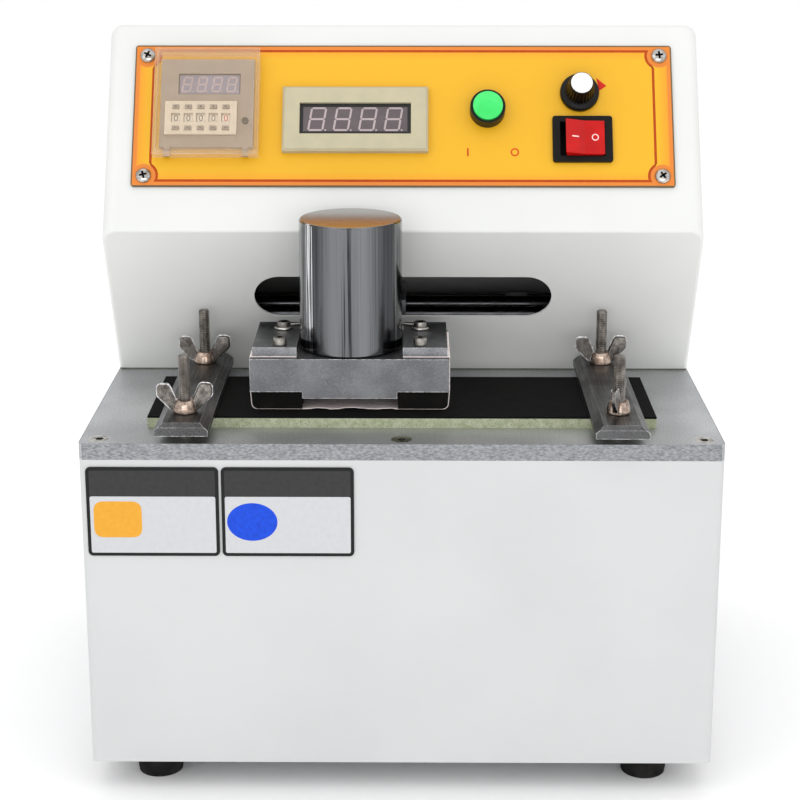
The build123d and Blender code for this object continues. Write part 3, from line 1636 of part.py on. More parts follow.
# Speed knob: a skirted, fluted knob with a flat cap, on the control's stem
with BuildPart() as speed_knob:
    with BuildSketch(on_slope(knob_bottom)):
        with Locations((speed_x, speed_up_slope)):
            Circle(knob_base_radius)
    extrude(amount=knob_base_height)
    with BuildSketch(on_slope(knob_bottom + knob_base_height)):
        with Locations((speed_x, speed_up_slope)):
            Circle(knob_body_radius)
    with BuildSketch(on_slope(knob_bottom + knob_height)):
        with Locations((speed_x, speed_up_slope)):
            Circle(knob_top_radius)
    loft()
    with BuildSketch(on_slope(knob_bottom + knob_base_height)):
        with Locations((speed_x, speed_up_slope)):
            with PolarLocations(knob_body_radius, knob_flute_count):
                Circle(knob_flute_radius)
    extrude(amount=knob_height - knob_base_height, mode=Mode.SUBTRACT)
    with BuildSketch(on_slope(knob_bottom + knob_height)):
        with Locations((speed_x, speed_up_slope)):
            Circle(knob_cap_radius)
    extrude(amount=knob_cap_height)
    with BuildSketch(on_slope(knob_bottom)):
        with Locations((speed_x, speed_up_slope)):
            Circle(knob_stem_radius)
    extrude(amount=-knob_stem_length)
speed_knob.part.label = "speed_knob"
export_step(speed_knob.part, "parts/speed_knob.step")

# Switch bezel: the frame and case of the power switch, with bearings for the rocker
bezel_top = plate_thickness + switch_bezel_thickness
rocker_pivot = plate_thickness - rocker_pivot_depth
rocker_pin_half = switch_window_height / 2 + rocker_pin_reach
rocker_plane = across_slope(switch_x, switch_up_slope, rocker_pivot)
with BuildPart() as switch_bezel:
    with BuildSketch(on_slope(plate_thickness)):
        with Locations((switch_x, switch_up_slope)):
            RectangleRounded(switch_bezel_width, switch_bezel_height, switch_bezel_radius)
    extrude(amount=switch_bezel_thickness)
    with BuildSketch(on_slope(plate_thickness)):
        with Locations((switch_x, switch_up_slope)):
            Rectangle(switch_case_width, switch_case_height)
    extrude(amount=-switch_case_depth)
    with BuildSketch(on_slope(bezel_top)):
        with Locations((switch_x, switch_up_slope)):
            Rectangle(2 * switch_window_half, switch_window_height)
    extrude(amount=-switch_bezel_thickness - switch_case_cavity, mode=Mode.SUBTRACT)
    with BuildSketch(rocker_plane):
        Circle(rocker_pin_radius + running_clearance)
    extrude(amount=rocker_pin_half, both=True, mode=Mode.SUBTRACT)
switch_bezel.part.label = "switch_bezel"
export_step(switch_bezel.part, "parts/switch_bezel.step")

# Power rocker: a shallow vee seen from below, tilted to its off side
rocker_outline = [
    (-rocker_half_width, rocker_rise),
    (0, rocker_dip),
    (rocker_half_width, rocker_rise),
    (rocker_bottom_half, -rocker_bottom_depth),
    (-rocker_bottom_half, -rocker_bottom_depth),
]
with BuildPart() as power_rocker:
    with BuildSketch(turned(rocker_plane, 0, 0, -rocker_angle)):
        with BuildLine():
            Polyline(*rocker_outline, close=True)
        make_face()
    extrude(amount=rocker_height / 2, both=True)
    with BuildSketch(rocker_plane):
        Circle(rocker_pin_radius)
    extrude(amount=rocker_pin_half, both=True)
power_rocker.part.label = "power_rocker"
export_step(power_rocker.part, "parts/power_rocker.step")

# Power inlet: a snap-in socket in the back with three blades
inlet_point = (inlet_x, foot_height + inlet_height)
with BuildPart() as power_inlet:
    with BuildSketch(on_back(0)):
        with Locations(inlet_point):
            Rectangle(inlet_flange_width, inlet_flange_height)
    extrude(amount=-inlet_flange)
    with BuildSketch(on_back(0)):
        with Locations(inlet_point):
            Rectangle(inlet_body_width, inlet_body_height)
    extrude(amount=inlet_body_depth)
    with BuildSketch(on_back(-inlet_flange)):
        with Locations(inlet_point):
            Rectangle(inlet_recess_width, inlet_recess_height)
    extrude(amount=inlet_recess_depth, mode=Mode.SUBTRACT)
    with BuildSketch(on_back(inlet_recess_depth - inlet_flange)):
        with Locations(
            (inlet_x - inlet_blade_pitch, inlet_point[1] - inlet_blade_offset),
            (inlet_x, inlet_point[1] + inlet_blade_offset),
            (inlet_x + inlet_blade_pitch, inlet_point[1] - inlet_blade_offset),
        ):
            Rectangle(inlet_blade_thickness, inlet_blade_width)
    extrude(amount=-inlet_blade_length)
power_inlet.part.label = "power_inlet"
export_step(power_inlet.part, "parts/power_inlet.step")

# Controller board: on the standoffs, with its transformer and two capacitors
board_z = bottom_z + bottom_thickness + board_standoff
with BuildPart() as control_board:
    with BuildSketch(over_floor(board_z)):
        with Locations((board_x, board_setback)):
            Rectangle(board_width, board_depth)
    extrude(amount=board_thickness)
    with BuildSketch(over_floor(board_z + board_thickness)):
        with Locations((board_x - board_width / 4, board_setback)):
            Rectangle(board_transformer, board_transformer)
    extrude(amount=board_transformer)
    with BuildSketch(over_floor(board_z + board_thickness)):
        with Locations((board_x + board_width / 4, board_setback)):
            with GridLocations(0, board_depth / 3, 1, 2):
                Circle(board_capacitor_radius)
    extrude(amount=board_capacitor_height)
control_board.part.label = "control_board"
export_step(control_board.part, "parts/control_board.step")

# Stroke sensor: a slotted block on the table that the crank's flag passes through
sensor_right = crank_x - crank_disc_radius - sensor_gap
sensor_mouth_depth = flag_length
sensor_mouth_rise = flag_rise + flag_thickness / 2
with BuildPart() as stroke_sensor:
    with BuildSketch(over_table(0)):
        with Locations((sensor_right - sensor_width / 2, crank_setback)):
            Rectangle(sensor_width, sensor_depth)
    extrude(amount=sensor_height)
    with BuildSketch(front_plane(sensor_right, crank_setback)):
        with Locations((-sensor_mouth_depth / 2, sensor_mouth_rise)):
            Rectangle(sensor_mouth_depth, sensor_mouth)
    extrude(amount=sensor_depth, both=True, mode=Mode.SUBTRACT)
stroke_sensor.part.label = "stroke_sensor"
export_step(stroke_sensor.part, "parts/stroke_sensor.step")
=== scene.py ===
"""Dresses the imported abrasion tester: a finish for each part, and detailed pieces for its trim.

Sizes are in millimetres in the row's frame: +Z up, +Y to the back, the origin on the floor.
A place's third direction, called out, points away from the surface that it lies on.
"""

import logging
import math
from dataclasses import dataclass
from enum import Enum
from typing import Callable, Sequence

import bmesh
import bpy
from mathutils import Matrix, Vector


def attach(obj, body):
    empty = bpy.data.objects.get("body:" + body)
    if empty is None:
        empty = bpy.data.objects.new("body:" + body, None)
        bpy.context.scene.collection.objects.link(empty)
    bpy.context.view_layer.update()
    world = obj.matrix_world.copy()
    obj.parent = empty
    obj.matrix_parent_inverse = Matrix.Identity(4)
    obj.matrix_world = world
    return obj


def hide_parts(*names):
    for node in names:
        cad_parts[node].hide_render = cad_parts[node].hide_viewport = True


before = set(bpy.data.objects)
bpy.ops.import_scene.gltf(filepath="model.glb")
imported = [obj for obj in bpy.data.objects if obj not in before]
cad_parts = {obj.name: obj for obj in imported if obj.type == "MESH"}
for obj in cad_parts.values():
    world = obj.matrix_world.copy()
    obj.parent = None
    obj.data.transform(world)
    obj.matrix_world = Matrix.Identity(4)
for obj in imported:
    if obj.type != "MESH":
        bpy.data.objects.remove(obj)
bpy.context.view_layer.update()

LOG = logging.getLogger("tester")
MM = 0.001
FIGURE_SHARE = 1.4
MADE: dict[str, bpy.types.Material] = {}

Point = tuple[float, float]
Triple = tuple[float, float, float]
Colour = tuple[float, float, float, float]
Socket = bpy.types.NodeSocket
Corner = bmesh.types.BMVert
Wave = Callable[[float, float], float]


def tint(red: float, green: float, blue: float) -> Colour:
    """Turns a colour as a screen shows it into the linear one that a shader takes.

    Args:
        red: The red part, 0 to 255.
        green: The green part, 0 to 255.
        blue: The blue part, 0 to 255.

    Returns:
        The linear colour with full opacity.
    """
    linear = []
    for part in (red, green, blue):
        share = part / 255
        linear.append(share / 12.92 if share <= 0.04045 else ((share + 0.055) / 1.055) ** 2.4)
    return (linear[0], linear[1], linear[2], 1.0)


@dataclass(frozen=True)
class Place:
    """A flat place on the machine, given by its origin and two of its directions."""

    origin: Triple
    across: Triple
    up: Triple

    def out(self) -> Vector:
        """The direction that points away from the surface."""
        return Vector(self.across).cross(Vector(self.up))

    def matrix(self, x: float = 0.0, y: float = 0.0, out: float = 0.0, turn: float = 0.0) -> Matrix:
        """Gives the transform from millimetres at a spot here to metres in the row's frame.

        Args:
            x: How far across the spot is.
            y: How far up the spot is.
            out: How far above the surface the spot is.
            turn: How far the spot's own directions are turned on the surface, in radians.

        Returns:
            The transform.
        """
        across, up, away = Vector(self.across), Vector(self.up), self.out()
        local = Matrix((across, up, away)).transposed().to_4x4()
        local.translation = Vector(self.origin) + across * x + up * y + away * out
        return Matrix.Scale(MM, 4) @ local @ Matrix.Rotation(turn, 4, "Z")


TABLE = Place((0.0, -121.5, 189.0), (1.0, 0.0, 0.0), (0.0, 1.0, 0.0))
FRONT = Place((0.0, -121.5, 189.0), (1.0, 0.0, 0.0), (0.0, 0.0, 1.0))
SLOPE = Place((0.0, -31.0, 277.3), (1.0, 0.0, 0.0), (0.0, 0.48130, 0.87656))
LEAN = Place((0.0, 12.5, 189.0), (1.0, 0.0, 0.0), (0.0, -0.44192, 0.89706))
TOP = Place((0.0, 25.5, 380.2), (1.0, 0.0, 0.0), (0.0, 0.99211, -0.12541))


class Nodes:
    """The nodes of one material in the making."""

    def __init__(self, name: str) -> None:
        """Starts a material with its main shader and the piece's own coordinates.

        Args:
            name: The material's name.
        """
        self.material = bpy.data.materials.new(name)
        self.material.use_nodes = True
        self.tree = self.material.node_tree
        self.shader = self.tree.nodes["Principled BSDF"]
        self.coordinates = self.tree.nodes.new("ShaderNodeTexCoord").outputs["Object"]

    def set(self, name: str, value: object) -> None:
        """Sets one of the main shader's inputs.

        Args:
            name: The input's name.
            value: The value, or the socket that gives it.
        """
        if isinstance(value, Socket):
            self.tree.links.new(value, self.shader.inputs[name])
        else:
            self.shader.inputs[name].default_value = value

    def noise(self, grain: float, stretch: Triple = (1.0, 1.0, 1.0), detail: float = 4.0) -> Socket:
        """Makes a noise pattern.

        Args:
            grain: How large its spots are, in millimetres.
            stretch: How many times longer they are along X, Y and Z.
            detail: How many finer layers it has.

        Returns:
            The pattern, from 0 to 1 around a half.
        """
        mapping = self.tree.nodes.new("ShaderNodeMapping")
        mapping.inputs["Scale"].default_value = [1 / (grain * MM * part) for part in stretch]
        self.tree.links.new(self.coordinates, mapping.inputs["Vector"])
        pattern = self.tree.nodes.new("ShaderNodeTexNoise")
        pattern.inputs["Scale"].default_value = 1.0
        pattern.inputs["Detail"].default_value = detail
        self.tree.links.new(mapping.outputs["Vector"], pattern.inputs["Vector"])
        return pattern.outputs["Fac"]

    def ramp(self, factor: Socket, *stops: tuple[float, Colour]) -> Socket:
        """Turns a number into a colour.

        Args:
            factor: The number.
            stops: Places from 0 to 1 with their colours, in order.

        Returns:
            The colour.
        """
        made = self.tree.nodes.new("ShaderNodeValToRGB")
        elements = made.color_ramp.elements
        elements[0].position, elements[0].color = stops[0]
        elements[1].position, elements[1].color = stops[-1]
        for position, colour in stops[1:-1]:
            elements.new(position).color = colour
        self.tree.links.new(factor, made.inputs["Fac"])
        return made.outputs["Color"]

    def span(
        self, factor: Socket, low: float, high: float, start: float = 0.3, end: float = 0.7
    ) -> Socket:
        """Stretches a number's range.

        Args:
            factor: The number.
            low: What comes out at the range's start.
            high: What comes out at its end.
            start: Where the number's range starts.
            end: Where it ends.

        Returns:
            The new number.
        """
        made = self.tree.nodes.new("ShaderNodeMapRange")
        values = {"From Min": start, "From Max": end, "To Min": low, "To Max": high}
        for name, value in values.items():
            made.inputs[name].default_value = value
        self.tree.links.new(factor, made.inputs["Value"])
        return made.outputs["Result"]

    def math(self, operation: str, first: Socket, second: object = 0.0) -> Socket:
        """Works out one sum.

        Args:
            operation: The sum's name as the node has it.
            first: The first number.
            second: The second number or socket.

        Returns:
            What it comes to.
        """
        made = self.tree.nodes.new("ShaderNodeMath")
        made.operation = operation
        self.tree.links.new(first, made.inputs[0])
        if isinstance(second, Socket):
            self.tree.links.new(second, made.inputs[1])
        else:
            made.inputs[1].default_value = second
        return made.outputs["Value"]

    def blend(self, first: Socket, second: Socket, share: float) -> Socket:
        """Adds up two patterns.

        Args:
            first: The first pattern.
            second: The second pattern.
            share: The first pattern's share of the sum.

        Returns:
            The sum.
        """
        made = self.math("MULTIPLY_ADD", first, share)
        self.tree.links.new(self.math("MULTIPLY", second, 1 - share), made.node.inputs[2])
        return made

    def aside(self) -> Socket:
        """Measures in millimetres how far each point lies from the machine's middle plane."""
        return self.math("ABSOLUTE", self.distance((0, 0, 0), Vector((1, 0, 0))))

    def distance(self, origin: Triple, direction: Vector) -> Socket:
        """Measures how far each point lies past an origin along a direction.

        Args:
            origin: The origin, in millimetres.
            direction: The direction.

        Returns:
            The distance in millimetres.
        """
        made = self.tree.nodes.new("ShaderNodeVectorMath")
        made.operation = "DOT_PRODUCT"
        made.inputs[1].default_value = direction / MM
        self.tree.links.new(self.coordinates, made.inputs[0])
        return self.math("SUBTRACT", made.outputs["Value"], Vector(origin).dot(direction))

    def mix(self, factor: Socket, first: Socket, second: Socket) -> Socket:
        """Mixes two colours.

        Args:
            factor: The second colour's share.
            first: The first colour.
            second: The second colour.

        Returns:
            The mixed colour.
        """
        made = self.tree.nodes.new("ShaderNodeMix")
        made.data_type = "RGBA"
        self.tree.links.new(factor, made.inputs[0])
        self.tree.links.new(first, made.inputs[6])
        self.tree.links.new(second, made.inputs[7])
        return made.outputs[2]

    def edges(self, radius: float) -> Socket:
        """Finds where the surface turns.

        Args:
            radius: How far from an edge it still counts, in millimetres.

        Returns:
            A number that is 0 on a flat and rises to 1 at a sharp edge.
        """
        rounded_normal = self.tree.nodes.new("ShaderNodeBevel")
        rounded_normal.samples = 4
        rounded_normal.inputs["Radius"].default_value = radius * MM
        plain_normal = self.tree.nodes.new("ShaderNodeNewGeometry")
        product = self.tree.nodes.new("ShaderNodeVectorMath")
        product.operation = "DOT_PRODUCT"
        self.tree.links.new(rounded_normal.outputs["Normal"], product.inputs[0])
        self.tree.links.new(plain_normal.outputs["Normal"], product.inputs[1])
        return self.span(product.outputs["Value"], 1.0, 0.0, 0.72, 0.97)

    def bump(self, height: Socket, depth: float) -> None:
        """Raises and sinks the surface by a pattern.

        Args:
            height: The pattern.
            depth: How far the surface rises as the pattern goes from 0 to 1, in millimetres.
        """
        made = self.tree.nodes.new("ShaderNodeBump")
        made.inputs["Distance"].default_value = depth * MM
        self.tree.links.new(height, made.inputs["Height"])
        self.set("Normal", made.outputs["Normal"])


@dataclass(frozen=True)
class Finish:
    """A surface finish that becomes one material."""

    name: str

    def material(self) -> bpy.types.Material:
        """Gives the finish's material, which is made the first time that it is asked for.

        Returns:
            The material.
        """
        if self.name not in MADE:
            nodes = Nodes(self.name)
            self.build(nodes)
            MADE[self.name] = nodes.material
        return MADE[self.name]

    def build(self, nodes: Nodes) -> None:
        """Fills in the material's nodes."""
        raise NotImplementedError


@dataclass(frozen=True)
class PowderCoat(Finish):
    """Baked powder paint with a fine orange peel."""

    colour: Colour
    shade: Colour
    roughness: float = 0.42
    peel: float = 0.7
    depth: float = 0.02

    def build(self, nodes: Nodes) -> None:
        """Fills in the material's nodes.

        Args:
            nodes: The nodes of the material in the making.
        """
        cloud = nodes.noise(70.0, detail=5.0)
        nodes.set("Base Color", nodes.ramp(cloud, (0.35, self.shade), (0.65, self.colour)))
        peel = nodes.noise(self.peel, detail=2.0)
        nodes.set("Roughness", nodes.span(peel, self.roughness - 0.05, self.roughness + 0.06))
        nodes.bump(peel, self.depth)


@dataclass(frozen=True)
class HeadCoat(PowderCoat):
    """The head's powder paint, with painted shade on its inner faces and a painted shadow line
    along its foot.
    """

    # The two colours of the painted shade that stands for the dark inside of the head.
    painted_shade_dark: Colour = tint(14, 14, 15)
    dust_and_painted_shade: Colour = tint(26, 26, 27)
    inner_half: float = 152.0
    sheet_share: float = -1.1
    # A painted shadow line along the head's foot, where it meets the table.
    painted_shadow_line: Colour = tint(96, 98, 84)
    painted_shadow_line_light: Colour = tint(126, 128, 112)
    painted_shadow_line_rise: float = 0.7

    def build(self, nodes: Nodes) -> None:
        """Fills in the material's nodes, with near-black painted shade where a point is deeper than
        the sheet's outside.

        Args:
            nodes: The nodes of the material in the making.
        """
        super().build(nodes)
        # Painted shade: the inner faces, which lie in shade, are coloured near-black.
        inside = nodes.math("LESS_THAN", nodes.aside(), self.inner_half)
        for place in (SLOPE, LEAN, TOP):
            depth = nodes.distance(place.origin, place.out())
            inside = nodes.math("MINIMUM", inside, nodes.math("LESS_THAN", depth, self.sheet_share))
        painted = nodes.shader.inputs["Base Color"].links[0].from_socket
        painted_shade = nodes.ramp(nodes.noise(9.0), (0.3, self.painted_shade_dark), (0.8, self.dust_and_painted_shade))
        # Painted shadow line: points lower than this rise over the table are darkened.
        painted_shadow_line_colour = nodes.ramp(nodes.noise(4.0), (0.2, self.painted_shadow_line), (0.8, self.painted_shadow_line_light))
        rise = nodes.distance(TABLE.origin, Vector((0, 0, 1)))
        low = nodes.math("LESS_THAN", rise, self.painted_shadow_line_rise)
        painted = nodes.mix(low, painted, painted_shadow_line_colour)
        nodes.set("Base Color", nodes.mix(inside, painted, painted_shade))


class Grain(Enum):
    """The way that the tool marks run on a metal surface, as their stretch along X, Y and Z."""

    BLASTED = (1.0, 1.0, 1.0)
    ALONG_X = (45.0, 1.0, 1.0)
    ALONG_Y = (1.0, 45.0, 1.0)
    ALONG_Z = (1.0, 1.0, 60.0)
    AROUND_Z = (14.0, 14.0, 0.6)


@dataclass(frozen=True)
class Metal(Finish):
    """Bare or plated metal with tool marks and a cloudy tarnish."""

    colour: Colour
    tarnish: Colour
    grain: Grain = Grain.BLASTED
    grain_size: float = 0.35
    cloud_size: float = 14.0
    low: float = 0.25
    high: float = 0.42
    depth: float = 0.01
    marks_share: float = 0.45
    worn: float = 0.0
    bare: Colour = tint(228, 228, 230)

    def build(self, nodes: Nodes) -> None:
        """Fills in the material's nodes.

        Args:
            nodes: The nodes of the material in the making.
        """
        marks = nodes.noise(self.grain_size, self.grain.value, 3.0)
        cloud = nodes.noise(self.cloud_size, detail=5.0)
        both = nodes.blend(marks, cloud, self.marks_share)
        colour = nodes.ramp(both, (0.4, self.tarnish), (0.6, self.colour))
        if self.worn:
            bare = nodes.ramp(nodes.noise(1.5), (0.35, self.colour), (0.6, self.bare))
            colour = nodes.mix(nodes.edges(self.worn), colour, bare)
        nodes.set("Base Color", colour)
        nodes.set("Metallic", 1.0)
        nodes.set("Roughness", nodes.span(both, self.high, self.low, 0.4, 0.6))
        nodes.bump(marks, self.depth)


@dataclass(frozen=True)
class ReflectionPaintedSteel(Finish):
    """A polished steel cylinder with light and dark painted reflections in bands along its height,
    and a plain top.
    """

    painted_reflection_greys: tuple[tuple[float, float], ...]
    top_grey: float
    middle: float
    radius: float
    top: float
    waver: float = 0.05
    tarnish: int = 8

    def build(self, nodes: Nodes) -> None:
        """Fills in the material's nodes.

        Args:
            nodes: The nodes of the material in the making.
        """
        fine = nodes.noise(1.2, (1.0, 1.0, 80.0), 4.0)
        across = nodes.distance((self.middle - self.radius, 0, 0), Vector((1, 0, 0)))
        share = nodes.math("MULTIPLY", across, 0.5 / self.radius)
        share = nodes.math("ADD", share, nodes.span(fine, -self.waver, self.waver))
        # Painted reflections: light and dark grey bands across the cylinder, from its left side to
        # its right.
        stops = ((place, tint(grey, grey + 1, grey + 3)) for place, grey in self.painted_reflection_greys)
        painted_reflections = nodes.ramp(share, *stops)
        level = (self.top_grey, self.top_grey - 3, self.top_grey - 6)
        bright = tint(*(part + self.tarnish for part in level))
        plain = nodes.ramp(nodes.noise(5.0), (0.3, tint(*level)), (0.7, bright))
        over = nodes.math("GREATER_THAN", nodes.distance((0, 0, self.top), Vector((0, 0, 1))), -0.1)
        nodes.set("Base Color", nodes.mix(over, painted_reflections, plain))
        nodes.set("Metallic", 1.0)
        nodes.set("Roughness", nodes.span(fine, 0.12, 0.24))
        nodes.bump(fine, 0.006)


@dataclass(frozen=True)
class TableMetal(Finish):
    """Blasted aluminium plate whose sawn edges are darker."""

    colour: Colour
    shade: Colour
    sawn: Colour
    half_width: float = 159.6
    front: float = -121.2
    grain_share: float = 0.6

    def build(self, nodes: Nodes) -> None:
        """Fills in the material's nodes.

        Args:
            nodes: The nodes of the material in the making.
        """
        grain = nodes.noise(0.9, detail=3.0)
        both = nodes.blend(grain, nodes.noise(45.0, detail=5.0), self.grain_share)
        face = nodes.ramp(both, (0.4, self.shade), (0.6, self.colour))
        edge = nodes.math("GREATER_THAN", nodes.aside(), self.half_width)
        past_front = nodes.distance((0, self.front, 0), Vector((0, -1, 0)))
        ahead = nodes.math("GREATER_THAN", past_front, 0.0)
        marks = nodes.noise(0.8, (2.5, 2.5, 1.0), 4.0)
        sawn = nodes.ramp(marks, (0.3, self.sawn), (0.75, self.shade))
        nodes.set("Base Color", nodes.mix(nodes.math("MAXIMUM", edge, ahead), face, sawn))
        nodes.set("Metallic", 1.0)
        nodes.set("Roughness", nodes.span(grain, 0.4, 0.54))
        nodes.bump(grain, 0.02)


@dataclass(frozen=True)
class Rubber(Finish):
    """Dull black rubber with a fine grain and a little dust."""

    colour: Colour
    dust_and_painted_shade: Colour
    roughness: float = 0.78
    grain_size: float = 0.5
    depth: float = 0.05

    def build(self, nodes: Nodes) -> None:
        """Fills in the material's nodes.

        Args:
            nodes: The nodes of the material in the making.
        """
        grain = nodes.noise(self.grain_size, detail=3.0)
        dust_and_painted_shade = nodes.noise(11.0, detail=6.0)
        nodes.set("Base Color", nodes.ramp(dust_and_painted_shade, (0.45, self.colour), (0.85, self.dust_and_painted_shade)))
        nodes.set("Roughness", nodes.span(dust_and_painted_shade, self.roughness, self.roughness + 0.12))
        nodes.set("Specular IOR Level", 0.14)
        nodes.bump(grain, self.depth)


@dataclass(frozen=True)
class Plastic(Finish):
    """Moulded plastic with a faint flow pattern and a fine tooth."""

    colour: Colour
    shade: Colour
    roughness: float = 0.35
    tooth: float = 0.4
    depth: float = 0.008
    coat: float = 0.0
    shine: float = 0.5

    def build(self, nodes: Nodes) -> None:
        """Fills in the material's nodes.

        Args:
            nodes: The nodes of the material in the making.
        """
        flow = nodes.noise(9.0, detail=4.0)
        nodes.set("Base Color", nodes.ramp(flow, (0.35, self.shade), (0.65, self.colour)))
        tooth = nodes.noise(self.tooth, detail=2.0)
        nodes.set("Roughness", nodes.span(tooth, self.roughness - 0.04, self.roughness + 0.05))
        nodes.set("Specular IOR Level", self.shine)
        nodes.set("Coat Weight", self.coat)
        nodes.set("Coat Roughness", 0.08)
        nodes.bump(tooth, self.depth)


@dataclass(frozen=True)
class CounterPlastic(Plastic):
    """The counter's grey case, whose raised switch block is cream."""

    cream: Colour = tint(218, 206, 186)
    cream_shade: Colour = tint(210, 197, 177)
    block_middle: Point = (-108.0, 61.1)
    block_half: Point = (19.6, 9.7)
    block_out: float = 5.8

    def build(self, nodes: Nodes) -> None:
        """Fills in the material's nodes, cream where a point stands out at the block.

        Args:
            nodes: The nodes of the material in the making.
        """
        super().build(nodes)
        out = nodes.distance(SLOPE.origin, SLOPE.out())
        raised = nodes.math("GREATER_THAN", out, self.block_out)
        directions = (SLOPE.across, SLOPE.up)
        for direction, middle, half in zip(directions, self.block_middle, self.block_half):
            along = nodes.math("SUBTRACT", nodes.distance(SLOPE.origin, Vector(direction)), middle)
            within = nodes.math("LESS_THAN", nodes.math("ABSOLUTE", along), half)
            raised = nodes.math("MINIMUM", raised, within)
        grey = nodes.shader.inputs["Base Color"].links[0].from_socket
        cream = nodes.ramp(nodes.noise(5.0), (0.3, self.cream), (0.7, self.cream_shade))
        nodes.set("Base Color", nodes.mix(raised, grey, cream))


@dataclass(frozen=True)
class Lens(Plastic):
    """Coloured clear plastic that lets some light through and glows a little."""

    through: float = 0.25
    glow: float = 0.0

    def build(self, nodes: Nodes) -> None:
        """Fills in the material's nodes.

        Args:
            nodes: The nodes of the material in the making.
        """
        super().build(nodes)
        nodes.set("Transmission Weight", self.through)
        nodes.set("Emission Color", self.colour)
        nodes.set("Emission Strength", self.glow)


@dataclass(frozen=True)
class Glass(Finish):
    """Clear or ground glass with a tint."""

    colour: Colour
    shade: Colour
    through: float
    roughness: float
    index: float = 1.5
    depth: float = 0.02

    def build(self, nodes: Nodes) -> None:
        """Fills in the material's nodes.

        Args:
            nodes: The nodes of the material in the making.
        """
        ground = nodes.noise(0.6, detail=4.0)
        cloud = nodes.noise(3.0)
        nodes.set("Base Color", nodes.ramp(cloud, (0.35, self.shade), (0.65, self.colour)))
        nodes.set("Roughness", nodes.span(ground, self.roughness * 0.8, self.roughness * 1.2))
        nodes.set("Transmission Weight", self.through)
        nodes.set("IOR", self.index)
        nodes.bump(ground, self.depth)


@dataclass(frozen=True)
class ClearSheet(Finish):
    """Thin clear plastic, which shows what is behind it and turns pale at its edges, with painted
    highlights on its sharp edges.
    """

    colour: Colour
    shade: Colour
    flat: float = 0.1
    edge: float = 0.7
    # How wide the painted highlight on sharp edges reaches, and how opaque it makes them.
    rim: float = 0.7
    painted_rim_highlight_share: float = 0.75
    roughness: float = 0.08

    def build(self, nodes: Nodes) -> None:
        """Fills in the material's nodes.

        Args:
            nodes: The nodes of the material in the making.
        """
        cloud = nodes.noise(8.0)
        nodes.set("Base Color", nodes.ramp(cloud, (0.35, self.shade), (0.65, self.colour)))
        facing = nodes.tree.nodes.new("ShaderNodeLayerWeight")
        facing.inputs["Blend"].default_value = 0.35
        seen = nodes.span(facing.outputs["Facing"], self.flat, self.edge, 0.2, 0.9)
        # Painted highlight: sharp edges are made more opaque in the pale colour, like bright rims.
        rim = nodes.math("MULTIPLY", nodes.edges(self.rim), self.painted_rim_highlight_share)
        nodes.set("Alpha", nodes.math("MAXIMUM", seen, rim))
        scuffs = nodes.noise(2.0, detail=6.0)
        nodes.set("Roughness", nodes.span(scuffs, self.roughness * 0.7, self.roughness * 1.6))
        nodes.set("Coat Weight", 0.6)
        nodes.bump(scuffs, 0.006)


@dataclass(frozen=True)
class Ink(Finish):
    """Printed ink, slightly uneven."""

    colour: Colour
    thin: Colour
    roughness: float = 0.45

    def build(self, nodes: Nodes) -> None:
        """Fills in the material's nodes.

        Args:
            nodes: The nodes of the material in the making.
        """
        cover = nodes.noise(2.5, detail=5.0)
        nodes.set("Base Color", nodes.ramp(cover, (0.3, self.thin), (0.6, self.colour)))
        nodes.set("Roughness", nodes.span(cover, self.roughness, self.roughness + 0.08))
        nodes.set("Specular IOR Level", 0.25)
        nodes.bump(nodes.noise(0.3, detail=1.0), 0.004)


@dataclass(frozen=True)
class PanelPaint(Finish):
    """The instrument plate's screen print: yellow, warmer to its rim, with a bare worn edge."""

    yellow: Colour
    warm: Colour
    orange: Colour
    edge: Colour
    half_width: float = 145.0
    half_height: float = 40.2
    middle: float = 64.6
    reach: float = 20.0
    screw: Point = (138.3, 34.2)
    round: float = 6.6
    unevenness: float = 0.1
    worn_share: float = 0.045

    def build(self, nodes: Nodes) -> None:
        """Fills in the material's nodes from each point's place on the plate.

        Args:
            nodes: The nodes of the material in the making.
        """
        across = nodes.aside()
        up = nodes.distance(SLOPE.origin, Vector(SLOPE.up))
        up = nodes.math("ABSOLUTE", nodes.math("SUBTRACT", up, self.middle))
        past_side = nodes.math("SUBTRACT", across, self.half_width)
        past_top = nodes.math("SUBTRACT", up, self.half_height)
        outside = nodes.math("MAXIMUM", past_side, past_top)
        inward = nodes.math("MULTIPLY", outside, -1 / self.reach)
        cloud = nodes.math("SUBTRACT", nodes.noise(16.0, detail=5.0), 0.5)
        print_cloud = nodes.math("MULTIPLY", cloud, self.unevenness)
        inward = nodes.math("ADD", inward, nodes.math("MULTIPLY", print_cloud, inward))
        print_colour = nodes.ramp(
            inward, (0.0, self.edge), (0.025, self.edge), (self.worn_share, self.orange),
            (0.12, self.orange), (0.16, self.warm), (0.42, self.yellow), (1.0, self.yellow),
        )
        squares = [
            nodes.math("POWER", nodes.math("SUBTRACT", along, place), 2.0)
            for along, place in zip((across, up), self.screw)
        ]
        near = nodes.math("LESS_THAN", nodes.math("ADD", squares[0], squares[1]), self.round ** 2)
        near = nodes.math("MINIMUM", near, nodes.math("GREATER_THAN", inward, self.worn_share))
        under_screw = nodes.ramp(nodes.noise(6.0), (0.0, self.orange), (1.0, self.orange))
        nodes.set("Base Color", nodes.mix(near, print_colour, under_screw))
        gloss = nodes.noise(0.9, detail=3.0)
        nodes.set("Roughness", nodes.span(gloss, 0.4, 0.5))
        nodes.bump(gloss, 0.01)


@dataclass(frozen=True)
class Board(Finish):
    """A circuit board's green lacquer over its tracks."""

    lacquer: Colour
    track: Colour

    def build(self, nodes: Nodes) -> None:
        """Fills in the material's nodes.

        Args:
            nodes: The nodes of the material in the making.
        """
        tracks = nodes.noise(2.2, (8.0, 1.0, 1.0), 0.0)
        nodes.set("Base Color", nodes.ramp(tracks, (0.48, self.lacquer), (0.52, self.track)))
        nodes.set("Roughness", nodes.span(tracks, 0.3, 0.4))
        nodes.bump(tracks, 0.03)
